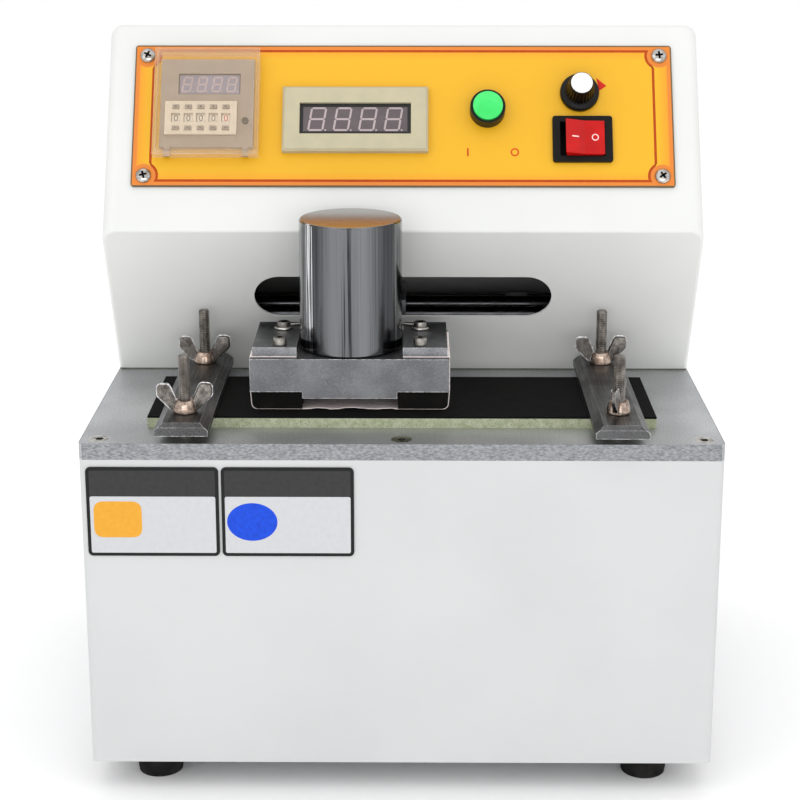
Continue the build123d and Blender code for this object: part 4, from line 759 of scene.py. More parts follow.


# Painted shade: the base's copy of the white paint is darker than the head's, to offset the front
# fill lamp on the base.
WHITE_PAINT_PAINTED_SHADE = PowderCoat("white_paint_painted_shade", tint(198, 199, 199), tint(194, 195, 195))
HEAD_PAINT = HeadCoat("head_paint", tint(221, 222, 219), tint(217, 218, 215))
TABLE_METAL = TableMetal(
    "table_metal", tint(202, 204, 205), tint(166, 168, 170), tint(112, 114, 117),
)
GALVANISED = Metal(
    "galvanised_sheet", tint(190, 193, 196), tint(160, 164, 168), Grain.BLASTED, grain_size=3.0,
    cloud_size=18.0, low=0.35, high=0.5, depth=0.01,
)
BRIGHT_SCREW = Metal(
    "bright_screw", tint(206, 203, 198), tint(150, 146, 141), Grain.AROUND_Z, grain_size=0.3,
    cloud_size=4.0, low=0.16, high=0.3, depth=0.006,
)
TABLE_SCREW = Metal(
    "table_screw", tint(196, 192, 184), tint(138, 134, 127), Grain.AROUND_Z, grain_size=0.3,
    cloud_size=4.0, low=0.2, high=0.36, depth=0.006, worn=0.7,
)
CLAMP_SCREW = Metal(
    "clamp_screw", tint(162, 158, 151), tint(104, 100, 95), Grain.AROUND_Z, grain_size=0.3,
    cloud_size=3.0, low=0.2, high=0.36, depth=0.006, worn=0.4,
)
# Painted shade: screw recesses and sockets are coloured dark, as they lie in shade.
RECESS_PAINTED_SHADE = Metal(
    "recess_painted_shade", tint(44, 41, 37), tint(22, 20, 18), Grain.BLASTED, grain_size=0.3,
    cloud_size=2.0, low=0.4, high=0.6, depth=0.01,
)
DARK_SCREW = Metal(
    "dark_screw", tint(70, 70, 72), tint(44, 44, 46), Grain.BLASTED, grain_size=0.4,
    cloud_size=3.0, low=0.35, high=0.5, depth=0.01,
)
STUD_STEEL = Metal(
    "stud_steel", tint(158, 152, 146), tint(96, 91, 86), Grain.ALONG_Z, grain_size=0.25,
    cloud_size=5.0, low=0.22, high=0.4, depth=0.006,
)
BAR_STEEL = Metal(
    "bar_steel", tint(102, 103, 104), tint(70, 69, 68), Grain.ALONG_Y, grain_size=0.6,
    cloud_size=22.0, low=0.3, high=0.46, depth=0.02, worn=0.9,
)
NUT_STEEL = Metal(
    "nut_steel", tint(136, 131, 126), tint(78, 73, 69), Grain.BLASTED, grain_size=0.6,
    cloud_size=3.0, low=0.24, high=0.4, depth=0.02, worn=0.5,
)
NUT_HUB = Metal(
    "nut_hub", tint(198, 180, 166), tint(124, 104, 91), Grain.AROUND_Z, grain_size=0.3,
    cloud_size=3.0, low=0.2, high=0.34, depth=0.01,
)
BLOCK_STEEL = Metal(
    "block_steel", tint(117, 118, 120), tint(99, 100, 102), Grain.BLASTED, grain_size=0.7,
    cloud_size=14.0, low=0.32, high=0.46, depth=0.02, worn=0.8,
)
CLAMP_STEEL = Metal(
    "clamp_steel", tint(138, 139, 141), tint(112, 113, 116), Grain.BLASTED, grain_size=0.7,
    cloud_size=12.0, low=0.28, high=0.42, depth=0.012, worn=0.6,
)
# Painted reflections on the weight: each band's place across the cylinder and its grey.
WEIGHT_PAINTED_REFLECTIONS = (
    (0.0, 168), (0.05, 118), (0.085, 44), (0.11, 238), (0.135, 52), (0.2, 80), (0.34, 118),
    (0.45, 106), (0.49, 40), (0.53, 98), (0.64, 122), (0.83, 72), (0.93, 62), (0.955, 160),
    (0.98, 34), (1.0, 150),
)
WEIGHT_STEEL = ReflectionPaintedSteel(
    "weight_steel", painted_reflection_greys=WEIGHT_PAINTED_REFLECTIONS, top_grey=150, middle=-26.6, radius=26.5, top=290.5,
)
# Painted shade: the rods' steel is darker than bright steel, as they lie in shade inside the
# machine.
ROD_STEEL_PAINTED_SHADE = Metal(
    "rod_steel", tint(118, 119, 122), tint(92, 93, 96), Grain.ALONG_X, grain_size=0.4,
    cloud_size=10.0, low=0.16, high=0.3, depth=0.003,
)
MACHINE_ALUMINIUM = Metal(
    "machine_aluminium", tint(192, 194, 196), tint(164, 166, 169), Grain.ALONG_X, grain_size=0.4,
    cloud_size=12.0, low=0.3, high=0.45, depth=0.01,
)
MACHINE_STEEL = Metal(
    "machine_steel", tint(160, 162, 166), tint(126, 128, 132), Grain.AROUND_Z, grain_size=0.4,
    cloud_size=8.0, low=0.25, high=0.4, depth=0.008,
)
BRONZE = Metal(
    "bushing_bronze", tint(196, 156, 96), tint(150, 112, 62), Grain.ALONG_X, grain_size=0.3,
    cloud_size=4.0, low=0.3, high=0.45, depth=0.008,
)
GEARBOX_METAL = Metal(
    "gearbox_metal", tint(150, 152, 154), tint(116, 118, 120), Grain.BLASTED, grain_size=1.2,
    cloud_size=14.0, low=0.4, high=0.55, depth=0.05,
)
FOOT_RUBBER = Rubber(
    "foot_rubber", tint(22, 22, 22), tint(52, 51, 49), roughness=0.7, grain_size=0.6, depth=0.05,
)
MAT_RUBBER = Rubber(
    "mat_rubber", tint(7, 7, 7), tint(17, 17, 16), roughness=0.86, grain_size=0.35, depth=0.05,
)
PAD_RUBBER = Rubber(
    "pad_rubber", tint(12, 11, 10), tint(34, 31, 27), roughness=0.84, grain_size=0.9, depth=0.12,
)
PLATEN_GLASS = Glass(
    "platen_glass", tint(206, 211, 180), tint(174, 183, 144), through=0.35, roughness=0.3,
)
CLEAR_COVER = ClearSheet("clear_cover", tint(238, 214, 184), tint(230, 204, 172))
STRIP_CARD = Ink("strip_card", tint(250, 240, 236), tint(238, 222, 216), roughness=0.7)
YELLOW_PRINT = PanelPaint(
    "yellow_print", tint(226, 170, 8), tint(230, 152, 14), tint(218, 124, 34), tint(92, 76, 44),
)
LINE_INK = Ink("line_ink", tint(178, 68, 0), tint(166, 60, 0))
MARK_INK = Ink("mark_ink", tint(208, 72, 12), tint(192, 62, 8))
ARROW_INK = Ink("arrow_ink", tint(208, 36, 16), tint(190, 28, 12))
LABEL_RIM = Ink("label_rim", tint(16, 16, 17), tint(10, 10, 11), roughness=0.4)
LABEL_HEADER = Ink("label_header", tint(50, 50, 51), tint(44, 44, 45), roughness=0.45)
LABEL_FIELD = Ink("label_field", tint(194, 195, 197), tint(190, 191, 193), roughness=0.4)
LABEL_AMBER = Ink("label_amber", tint(220, 158, 48), tint(216, 152, 44), roughness=0.4)
LABEL_BLUE = Ink("label_blue", tint(10, 72, 206), tint(6, 60, 188), roughness=0.4)
COUNTER_GREY = CounterPlastic(
    "counter_grey", tint(156, 143, 129), tint(148, 135, 121), roughness=0.45,
)
KEY_GREY = Plastic("key_grey", tint(152, 142, 130), tint(142, 132, 121), roughness=0.4)
KEY_MARK = Ink("key_mark", tint(86, 80, 75), tint(74, 69, 65))
WHEEL_WHITE = Plastic("wheel_white", tint(232, 224, 208), tint(224, 216, 200), roughness=0.4)
NUMERAL_DARK = Ink("numeral_dark", tint(92, 78, 70), tint(78, 66, 60))
NUMERAL_RED = Ink("numeral_red", tint(206, 84, 76), tint(190, 70, 64))
DISPLAY_FILM = Plastic("display_film", tint(92, 81, 84), tint(84, 74, 77), roughness=0.3, coat=0.2)
DISPLAY_BAR = Plastic("display_bar", tint(180, 164, 166), tint(168, 153, 155), roughness=0.3)
COUNTER_FILM = Plastic(
    "counter_film", tint(134, 130, 148), tint(126, 122, 140), roughness=0.3, coat=0.2,
)
TACHO_BEIGE = Plastic("tacho_beige", tint(186, 178, 148), tint(180, 172, 143), roughness=0.5)
DARK_PLASTIC = Plastic("dark_plastic", tint(20, 18, 17), tint(14, 13, 12), roughness=0.46)
SWITCH_BLACK = Plastic("switch_black", tint(14, 12, 10), tint(9, 8, 7), roughness=0.5, shine=0.2)
COLLAR_BLACK = Plastic("collar_black", tint(8, 16, 8), tint(5, 10, 5), roughness=0.42, shine=0.25)
KNOB_BLACK = Plastic("knob_black", tint(7, 7, 7), tint(4, 4, 4), roughness=0.36, shine=0.22)
KNOB_WHITE = Plastic("knob_white", tint(246, 246, 245), tint(240, 240, 239), roughness=0.35)
BUTTON_GREEN = Lens(
    "button_green", tint(52, 216, 104), tint(40, 206, 92), roughness=0.22, coat=0.3, through=0.15,
    glow=0.18,
)
ROCKER_RED = Lens(
    "rocker_red", tint(196, 8, 5), tint(178, 4, 4), roughness=0.36, shine=0.25, through=0.05,
    glow=0.03,
)
SWITCH_MARK = Ink("switch_mark", tint(250, 214, 208), tint(246, 200, 194))
MOTOR_PAINT = PowderCoat("motor_paint", tint(58, 60, 63), tint(48, 50, 53), roughness=0.45)
BOARD_GREEN = Board("board_green", tint(22, 84, 46), tint(46, 116, 62))


def dress(finish: Finish, *nodes: str) -> None:
    """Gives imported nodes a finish, on their objects' own material slots.

    Args:
        finish: The finish.
        nodes: The nodes' names.
    """
    for name in nodes:
        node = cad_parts[name]
        if not node.material_slots:
            node.data.materials.append(None)
        for slot in node.material_slots:
            slot.link = "OBJECT"
            slot.material = finish.material()
        LOG.info("node %s is in %s", name, finish.name)


def rounded(corners: Sequence[Point], radius: float, steps: int = 5) -> list[Point]:
    """Rounds an outline's corners.

    Args:
        corners: The outline's corners in order.
        radius: The radius that each corner gets, less where its sides are short.
        steps: How many runs each round has.

    Returns:
        The rounded outline.
    """
    made: list[Point] = []
    for index, corner in enumerate(corners):
        here = Vector(corner)
        back = Vector(corners[index - 1]) - here
        ahead = Vector(corners[(index + 1) % len(corners)]) - here
        half = back.angle(ahead) / 2
        reach = min(radius / math.tan(half), back.length / 2, ahead.length / 2)
        start, end = here + back.normalized() * reach, here + ahead.normalized() * reach
        for step in range(steps + 1):
            share = step / steps
            bend = start.lerp(here, share).lerp(here.lerp(end, share), share)
            made.append((bend.x, bend.y))
    return made


def rectangle(
    width: float, height: float, radius: float = 0.0, x: float = 0.0, y: float = 0.0
) -> list[Point]:
    """Outlines a rectangle.

    Args:
        width: Its width.
        height: Its height.
        radius: Its corners' radius, or 0 for sharp ones.
        x: Where its middle is across.
        y: Where its middle is up.

    Returns:
        The outline.
    """
    right, top = width / 2, height / 2
    corners = [
        (x - right, y - top), (x + right, y - top), (x + right, y + top), (x - right, y + top),
    ]
    return rounded(corners, radius) if radius else corners


def circle(radius: float, steps: int = 48, x: float = 0.0, y: float = 0.0) -> list[Point]:
    """Outlines a circle.

    Args:
        radius: Its radius.
        steps: How many runs it has.
        x: Where its middle is across.
        y: Where its middle is up.

    Returns:
        The outline.
    """
    turns = [2 * math.pi * step / steps for step in range(steps)]
    return [(x + radius * math.cos(turn), y + radius * math.sin(turn)) for turn in turns]


class Shape:
    """A mesh in the making, in millimetres."""

    def __init__(self) -> None:
        """Starts an empty mesh whose faces take the first finish."""
        self.mesh = bmesh.new()
        self.finish = 0

    def loop(self, points: Sequence[Triple]) -> list[Corner]:
        """Adds a ring of points."""
        return [self.mesh.verts.new(point) for point in points]

    def skin(self, first: Sequence[Corner], second: Sequence[Corner]) -> None:
        """Adds the faces between two rings of the same length.

        Args:
            first: One ring.
            second: The other ring.
        """
        for index in range(len(first)):
            after = (index + 1) % len(first)
            made = self.mesh.faces.new((first[index], first[after], second[after], second[index]))
            made.material_index = self.finish

    def cap(self, ring: Sequence[Corner]) -> None:
        """Closes a ring with one face."""
        self.mesh.faces.new(ring).material_index = self.finish

    def prism(self, outline: Sequence[Point], low: float, high: float) -> list[Corner]:
        """Adds a solid of one outline.

        Args:
            outline: The outline.
            low: How high its bottom is.
            high: How high its top is.

        Returns:
            The solid's corners.
        """
        bottom = self.loop([(x, y, low) for x, y in outline])
        top = self.loop([(x, y, high) for x, y in outline])
        self.skin(bottom, top)
        self.cap(bottom)
        self.cap(top)
        return bottom + top

    def frame(
        self, outer: Sequence[Point], inner: Sequence[Point], low: float, high: float
    ) -> list[Corner]:
        """Adds a solid between two outlines of the same length.

        Args:
            outer: The outer outline.
            inner: The inner outline.
            low: How high its bottom is.
            high: How high its top is.

        Returns:
            The solid's corners.
        """
        rings = [
            self.loop([(x, y, level) for x, y in outline])
            for outline, level in ((outer, low), (outer, high), (inner, high), (inner, low))
        ]
        for index, ring in enumerate(rings):
            self.skin(ring, rings[(index + 1) % len(rings)])
        return [corner for ring in rings for corner in ring]

    def lathe(
        self,
        profile: Sequence[Point],
        steps: int = 48,
        closed: bool = False,
        wave: Wave = lambda turn, height: 0.0,
    ) -> list[Corner]:
        """Adds a turned solid around the third axis.

        Args:
            profile: Radius and height of its outside from bottom to top.
            steps: How many runs go round.
            closed: Whether the profile runs back to its start, as for a ring.
            wave: What is added to the radius at a turn and a height.

        Returns:
            The solid's corners.
        """
        rings = []
        for radius, height in profile:
            ring = []
            for step in range(steps):
                turn = 2 * math.pi * step / steps
                reach = radius + wave(turn, height)
                ring.append((reach * math.cos(turn), reach * math.sin(turn), height))
            rings.append(self.loop(ring))
        for index in range(len(rings) - (0 if closed else 1)):
            self.skin(rings[index], rings[(index + 1) % len(rings)])
        if not closed:
            self.cap(rings[0])
            self.cap(rings[-1])
        return [corner for ring in rings for corner in ring]

    def move(self, corners: Sequence[Corner], change: Matrix) -> None:
        """Moves some of the mesh's corners."""
        bmesh.ops.transform(self.mesh, matrix=change, verts=list(corners))

    def absorb(self, other: "Shape", at: Matrix) -> None:
        """Takes another shape's mesh into this one and frees it.

        Args:
            other: The other shape.
            at: The transform that moves it into place.
        """
        made = bpy.data.meshes.new("absorbed")
        other.mesh.to_mesh(made)
        other.mesh.free()
        before = set(self.mesh.verts)
        self.mesh.from_mesh(made)
        self.move([corner for corner in self.mesh.verts if corner not in before], at)

    def carve(self, tool: "Shape") -> None:
        """Cuts another shape out of this one, with the tool's own finish on what it leaves.

        Args:
            tool: The shape that is cut out. It is used up.
        """
        bodies = []
        for shape in (self, tool):
            bmesh.ops.recalc_face_normals(shape.mesh, faces=shape.mesh.faces)
            data = bpy.data.meshes.new("carving")
            shape.mesh.to_mesh(data)
            data.materials.append(None)
            data.materials.append(None)
            bodies.append(bpy.data.objects.new("carving", data))
            bpy.context.scene.collection.objects.link(bodies[-1])
        cut = bodies[0].modifiers.new("cut", "BOOLEAN")
        cut.operation, cut.object, cut.solver = "DIFFERENCE", bodies[1], "EXACT"
        bpy.context.view_layer.update()
        done = bodies[0].evaluated_get(bpy.context.evaluated_depsgraph_get())
        result = bpy.data.meshes.new_from_object(done)
        self.mesh.clear()
        self.mesh.from_mesh(result)
        for body in bodies:
            bpy.data.objects.remove(body)
        tool.mesh.free()

    def piece(
        self,
        name: str,
        at: Matrix,
        finishes: Sequence[Finish],
        body: str,
        replaces: str = "",
        crease: float = 35.0,
    ) -> None:
        """Turns the mesh into a piece of the machine.

        Args:
            name: The piece's name.
            at: The transform from the mesh's millimetres to the row's frame.
            finishes: The finishes that its faces count through.
            body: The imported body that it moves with.
            replaces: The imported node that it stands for.
            crease: The angle in degrees from which an edge stays sharp.
        """
        self.mesh.transform(at)
        bmesh.ops.recalc_face_normals(self.mesh, faces=self.mesh.faces)
        for face in self.mesh.faces:
            face.smooth = True
        for edge in self.mesh.edges:
            edge.smooth = edge.calc_face_angle(math.pi) < math.radians(crease)
        data = bpy.data.meshes.new(name)
        self.mesh.to_mesh(data)
        self.mesh.free()
        for finish in finishes:
            data.materials.append(finish.material())
        made = bpy.data.objects.new(name, data)
        bpy.context.scene.collection.objects.link(made)
        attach(made, body)
        if replaces:
            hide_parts(replaces)
        LOG.info("piece %s rides on %s, with %d faces", name, body, len(data.polygons))


def cross_recess(width: float, length: float, low: float, high: float) -> Shape:
    """Makes the tool that cuts a screw head's cross recess.

    Args:
        width: How wide each arm is at the top.
        length: How long each arm is at the top.
        low: How high the recess's bottom is.
        high: How high the tool's top is.

    Returns:
        The tool, narrower below.
    """
    wide, long = width / 2, length / 2
    outline = [
        (long, -wide), (long, wide), (wide, wide), (wide, long), (-wide, long), (-wide, wide),
        (-long, wide), (-long, -wide), (-wide, -wide), (-wide, -long), (wide, -long), (wide, -wide),
    ]
    tool = Shape()
    # The recess's faces take the second finish, which is painted shade.
    tool.finish = 1
    corners = tool.prism(outline, low, high)
    below = [corner for corner in corners if corner.co.z < (low + high) / 2]
    tool.move(below, Matrix.Diagonal((0.5, 0.5, 1, 1)))
    return tool


def text_mesh(words: str, height: float) -> bpy.types.Mesh:
    """Makes flat plain figures, with their middle at the origin.

    Args:
        words: What they say.
        height: How tall a figure is.

    Returns:
        The mesh.
    """
    curve = bpy.data.curves.new("figures", "FONT")
    curve.body, curve.size = words, height * FIGURE_SHARE
    curve.align_x, curve.align_y = "CENTER", "CENTER"
    holder = bpy.data.objects.new("figures", curve)
    bpy.context.scene.collection.objects.link(holder)
    bpy.context.view_layer.update()
    done = holder.evaluated_get(bpy.context.evaluated_depsgraph_get())
    made = bpy.data.meshes.new_from_object(done)
    bpy.data.objects.remove(holder)
    return made


@dataclass
class Cabinet:
    """The covers, the table, the feet and the two plates on the front."""

    label_width: float = 66.0
    label_height: float = 46.8
    label_gap: float = 1.3
    label_left: float = -156.9
    label_drop: float = 12.1
    label_thickness: float = 0.8
    rim: float = 1.7
    header: float = 13.6
    print_height: float = 0.08
    amber_patch: tuple[float, ...] = (24.0, 19.0, 5.0, -17.6, -4.0)
    blue_radius: float = 10.0
    blue_stretch: float = 1.26
    blue_middle: Point = (-17.8, -5.2)

    def dress_nodes(self) -> None:
        """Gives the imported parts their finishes."""
        dress(HEAD_PAINT, "head_cover")
        dress(WHITE_PAINT_PAINTED_SHADE, "base_cover", "base_rear_panel", "head_rear_panel")
        dress(GALVANISED, "bottom_plate")
        dress(TABLE_METAL, "table_plate")
        dress(TABLE_SCREW, "table_screws")
        dress(DARK_SCREW, "case_screws", "motor_screws")
        dress(FOOT_RUBBER, "feet")
        dress(LABEL_RIM, "label_plates")
        dress(DARK_PLASTIC, "power_inlet")

    def add_label_prints(self) -> None:
        """Adds each front plate's plain print: a header band, a pale field and one bare patch."""
        inner_width = self.label_width - 2 * self.rim
        field_height = self.label_height - 2 * self.rim - self.header
        middle = -self.label_drop - self.label_height / 2
        low = self.label_thickness - self.print_height / 2
        high = self.label_thickness + self.print_height / 2
        blue_x, blue_y = self.blue_middle
        disc = [(x * self.blue_stretch + blue_x, y + blue_y) for x, y in circle(self.blue_radius)]
        for index, patch in enumerate((rectangle(*self.amber_patch), disc)):
            shape = Shape()
            shape.prism(rectangle(inner_width, field_height, 1.0, 0.0, -self.header / 2), low, high)
            shape.finish = 1
            shape.prism(rectangle(inner_width, self.header, 0.8, 0.0, field_height / 2), low, high)
            shape.finish = 2
            shape.prism(patch, low, high + self.print_height / 2)
            x = self.label_left + self.label_width / 2 + index * (self.label_width + self.label_gap)
            finishes = [LABEL_FIELD, LABEL_HEADER, (LABEL_AMBER, LABEL_BLUE)[index]]
            at = FRONT.matrix(x, middle)
            shape.piece(f"label_print_{index + 1}", at, finishes, "cabinet")

    def build(self) -> None:
        """Dresses the cabinet and adds its prints."""
        self.dress_nodes()
        self.add_label_prints()


@dataclass
class Bed:
    """The glass bed with its mat, the clamp bars, their studs and their wing nuts."""

    bar_x: float = 108.0
    front_setback: float = 13.0
    rear_setback: float = 104.0
    stud_radius: float = 3.0
    stud_top: float = 42.0
    stud_bottom: float = -8.5
    thread_start: float = 1.5
    pitch: float = 1.0
    thread_depth: float = 0.5
    thread_runs: int = 7
    stud_steps: int = 20
    stud_chamfer: float = 0.7
    nut_rise: float = 12.5
    hub_radius: float = 6.0
    hub_top_radius: float = 4.8
    hub_height: float = 6.5
    bore: float = 3.08
    wing_reach: float = 13.5
    wing_half: float = 1.3
    wing_round: float = 2.2
    wing_bevel: float = 0.55
    root_stretch: float = 1.35
    tip_thinning: float = 0.6
    turned_nut: float = math.radians(72)
    wing: tuple[Point, ...] = (
        (4.0, 1.4), (6.6, 1.6), (13.5, 8.6), (13.5, 14.5), (7.6, 14.5), (4.0, 6.0),
    )

    def dress_nodes(self) -> None:
        """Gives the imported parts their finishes."""
        dress(PLATEN_GLASS, "glass_platen")
        dress(MAT_RUBBER, "rub_mat")
        dress(BAR_STEEL, "clamp_bar_left", "clamp_bar_right")

    def thread_radius(self, turn: float, height: float) -> float:
        """Works out a stud's radius.

        Args:
            turn: The turn around the stud, in radians.
            height: The height over the table.

        Returns:
            The radius there.
        """
        phase = (height / self.pitch - turn / (2 * math.pi)) % 1.0
        groove = self.thread_depth * (0.5 - 0.5 * math.cos(2 * math.pi * phase))
        depth = groove if height >= self.thread_start else 0.0
        chamfer = max(0.0, height - self.stud_top + self.stud_chamfer)
        return self.stud_radius - max(depth, chamfer)

    def add_studs(self) -> None:
        """Adds the four threaded studs."""
        shape = Shape()
        runs = self.thread_runs
        count = round((self.stud_top - self.thread_start) / self.pitch * runs)
        thread = [self.thread_start + step * self.pitch / runs for step in range(count)]
        profile = [(0.0, height) for height in (self.stud_bottom, *thread, self.stud_top)]
        for side in (-1, 1):
            for setback in (self.front_setback, self.rear_setback):
                stud = shape.lathe(profile, self.stud_steps, wave=self.thread_radius)
                shape.move(stud, Matrix.Translation((side * self.bar_x, setback, 0)))
        at, finishes = TABLE.matrix(), [STUD_STEEL]
        shape.piece("threaded_studs", at, finishes, "cabinet", "clamp_studs", 50.0)

    def add_nut(self, name: str, body: str, side: int, setback: float, turn: float) -> None:
        """Adds one wing nut.

        Args:
            name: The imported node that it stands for.
            body: The body that it turns with.
            side: Which bar it holds, -1 for the left and 1 for the right.
            setback: How far behind the table's front edge it is.
            turn: How far it is turned, in radians.
        """
        shape = Shape()
        upright = Matrix.Rotation(math.pi / 2, 4, "X")
        root = self.wing[0][0]
        for mirror in (1, -1):
            wing = shape.prism(rounded(self.wing, self.wing_round), -self.wing_half, self.wing_half)
            shape.move(wing, upright)
            for corner in wing:
                share = (corner.co.x - root) / (self.wing_reach - root)
                corner.co.y *= self.root_stretch - self.tip_thinning * share
                corner.co.x *= mirror
        edges = [edge for edge in shape.mesh.edges if edge.calc_face_angle(0.0) > 1.0]
        bmesh.ops.bevel(
            shape.mesh, geom=edges, offset=self.wing_bevel, segments=3, profile=0.6, affect="EDGES"
        )
        shape.finish = 1
        bore, foot, neck, top = self.bore, self.hub_radius, self.hub_top_radius, self.hub_height
        hub = [
            (bore, 0.2), (bore + 0.3, 0.0), (foot - 0.5, 0.0), (foot - 0.1, 0.4),
            (foot - 0.15, 2.4), (neck + 0.35, 5.2), (neck, 6.2), (neck - 0.4, top),
            (bore + 0.4, top), (bore, top - 0.4),
        ]
        shape.lathe(hub, 40, closed=True)
        at = TABLE.matrix(side * self.bar_x, setback, self.nut_rise, turn)
        shape.piece(f"{name}_shape", at, [NUT_STEEL, NUT_HUB], body, name, 40.0)

    def build(self) -> None:
        """Dresses the bed and adds its studs and nuts."""
        self.dress_nodes()
        self.add_studs()
        for place, side, setback, turn in (
            ("left_front", -1, self.front_setback, 0.0),
            ("left_rear", -1, self.rear_setback, 0.0),
            ("right_front", 1, self.front_setback, self.turned_nut),
            ("right_rear", 1, self.rear_setback, 0.0),
        ):
            self.add_nut(f"wing_nut_{place}", f"{place}_nut", side, setback, turn)


@dataclass
class RubbingBlock:
    """The friction block with its pads, strip, clamps and weight."""

    middle: float = -26.6
    half: float = 50.8
    top: float = 34.0
    end_rise: float = 16.7
    pad_outer: float = 50.0
    strip_bottom: float = 6.7
    strip_front: float = 37.5
    strip_depth: float = 50.0
    strip_thickness: float = 0.4
    strip_side: float = 0.8
    strip_run: float = 1.6
    strip_rows: int = 16
    strip_fold: float = 0.3
    bend_steps: int = 6
    gap_half: float = 23.0
    lift_height: float = 0.9
    lift_rate: float = 0.33
    lift_start: float = 1.0
    cut_waves: tuple[Triple, ...] = ((0.35, 0.5, 0.0), (0.25, 1.3, 2.0))
    clamp_inner: float = 27.1
    round: float = 3.0
    screw_x: float = 36.0
    screw_setbacks: tuple[float, float] = (44.0, 76.0)
    screw_rise: float = 38.9
    screw_radius: float = 2.0
    screw_bottom: float = 24.0
    head_radius: float = 3.5
    head_height: float = 4.0
    head_steps: int = 96
    knurls: int = 28
    knurl_depth: float = 0.12
    socket_radius: float = 1.7
    socket_depth: float = 2.0

    def dress_nodes(self) -> None:
        """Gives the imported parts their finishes."""
        dress(BLOCK_STEEL, "friction_block", "drive_bracket")
        dress(CLAMP_STEEL, "strip_clamps")
        dress(PAD_RUBBER, "friction_pads")
        dress(BRIGHT_SCREW, "weight_bail", "drive_pin")
        dress(WEIGHT_STEEL, "load_weight")

    def strip_line(self) -> list[Point]:
        """Outlines the strip's inside from clamp to clamp round the pads, in short even runs.

        Returns:
            The line's points, across from the block's middle and up from the table.
        """
        corners = [
            (-self.clamp_inner, self.top), (-self.half, self.top), (-self.half, self.end_rise),
            (-self.pad_outer, self.strip_bottom), (self.pad_outer, self.strip_bottom),
            (self.half, self.end_rise), (self.half, self.top), (self.clamp_inner, self.top),
        ]
        line: list[Point] = [corners[0]]
        for index in range(1, len(corners) - 1):
            radius = self.round if corners[index][1] < self.end_rise else self.strip_fold
            three = rounded(corners[index - 1:index + 2], radius, self.bend_steps)
            line += three[self.bend_steps + 1:2 * (self.bend_steps + 1)]
        line.append(corners[-1])
        even: list[Point] = []
        for (x, rise), (next_x, next_rise) in zip(line, line[1:]):
            runs = max(1, round(math.dist((x, rise), (next_x, next_rise)) / self.strip_run))
            for run in range(runs):
                even.append((x + (next_x - x) * run / runs, rise + (next_rise - rise) * run / runs))
        return even + [line[-1]]

    def strip_edge(self, x: float, rise: float) -> tuple[float, float]:
        """Works out how the strip's front edge departs from a straight one between the pads.

        Args:
            x: Where a point of the strip is across, from the block's middle.
            rise: How high it is over the table.

        Returns:
            How far the edge comes forward there, and how far it lifts.
        """
        gap = 1.0 - abs(x) / self.gap_half
        if gap <= 0 or rise >= self.strip_bottom + 0.5:
            return 0.0, 0.0
        forward = sum(reach * math.sin(x * rate + start) for reach, rate, start in self.cut_waves)
        wave = 0.5 + 0.5 * math.sin(x * self.lift_rate + self.lift_start)
        return forward, gap ** 0.5 * wave * self.lift_height

    def strip_row(self, shape: Shape, line: list[Point], index: int, side: float) -> list[Corner]:
        """Adds one row of the strip's corners, from its front edge to its back.

        Args:
            shape: The shape that they are added to.
            line: The strip's inner line.
            index: The line's point that the row starts from.
            side: How far outside the line the row is.

        Returns:
            The row's corners.
        """
        x, rise = line[index]
        forward, lift = self.strip_edge(x, rise)
        before = Vector(line[max(index - 1, 0)])
        after = Vector(line[min(index + 1, len(line) - 1)])
        along = (after - before).normalized()
        spot = Vector((x, rise)) + Vector((along.y, -along.x)) * side
        row = []
        for step in range(self.strip_rows + 1):
            share = step / self.strip_rows
            front = (1 - share) ** 2
            setback = self.strip_front + self.strip_depth * share - forward * front
            row.append((spot.x, setback, spot.y + lift * front))
        return shape.loop(row)

    def add_strip(self) -> None:
        """Adds the card strip, whose hand-cut front edge lifts a little between the pads."""
        shape = Shape()
        line = self.strip_line()
        inner, outer = sheets = [
            [self.strip_row(shape, line, index, side) for index in range(len(line))]
            for side in (0.0, self.strip_thickness * self.strip_side)
        ]
        rows, faces = self.strip_rows, shape.mesh.faces
        for index in range(len(line) - 1):
            for step in range(rows):
                for sheet in sheets:
                    here, after = sheet[index], sheet[index + 1]
                    faces.new((here[step], after[step], after[step + 1], here[step + 1]))
            for step in (0, rows):
                around = (inner[index], inner[index + 1], outer[index + 1], outer[index])
                faces.new([row[step] for row in around])
        for index in (0, len(line) - 1):
            below, above = inner[index], outer[index]
            for step in range(rows):
                faces.new((below[step], below[step + 1], above[step + 1], above[step]))
        at = TABLE.matrix(self.middle)
        shape.piece("card_strip", at, [STRIP_CARD], "block", "receptor_strip", 60.0)

    def knurl(self, turn: float, height: float) -> float:
        """Gives how far a clamp screw's head is sunk by its knurling.

        Args:
            turn: The turn around the head, in radians.
            height: The height over the head's bottom.

        Returns:
            The change of its radius.
        """
        if not 0.2 < height < self.head_height - 0.5:
            return 0.0
        return -self.knurl_depth * (0.5 + 0.5 * math.cos(self.knurls * turn))

    def add_screws(self) -> None:
        """Adds the four knurled socket screws on the strip clamps."""
        shape = Shape()
        rim, height = self.head_radius, self.head_height
        profile = [
            (self.screw_radius, self.screw_bottom - self.screw_rise), (self.screw_radius, 0.0),
            (rim - 0.3, 0.0), (rim, 0.3), (rim, height - 0.7), (rim - 0.15, height - 0.3),
            (rim - 0.5, height),
        ]
        for side in (-1, 1):
            for setback in self.screw_setbacks:
                head = Shape()
                head.lathe(profile, self.head_steps, wave=self.knurl)
                socket = Shape()
                # The socket's faces take the second finish, which is painted shade.
                socket.finish = 1
                socket.prism(circle(self.socket_radius, 6), height - self.socket_depth, height + 1)
                head.carve(socket)
                place = (side * self.screw_x, setback, self.screw_rise)
                shape.absorb(head, Matrix.Translation(place))
        at, finishes = TABLE.matrix(self.middle), [CLAMP_SCREW, RECESS_PAINTED_SHADE]
        shape.piece("knurled_screws", at, finishes, "block", "clamp_screws", 32.0)

    def build(self) -> None:
        """Dresses the block and adds its strip and screws."""
        self.dress_nodes()
        self.add_strip()
        self.add_screws()


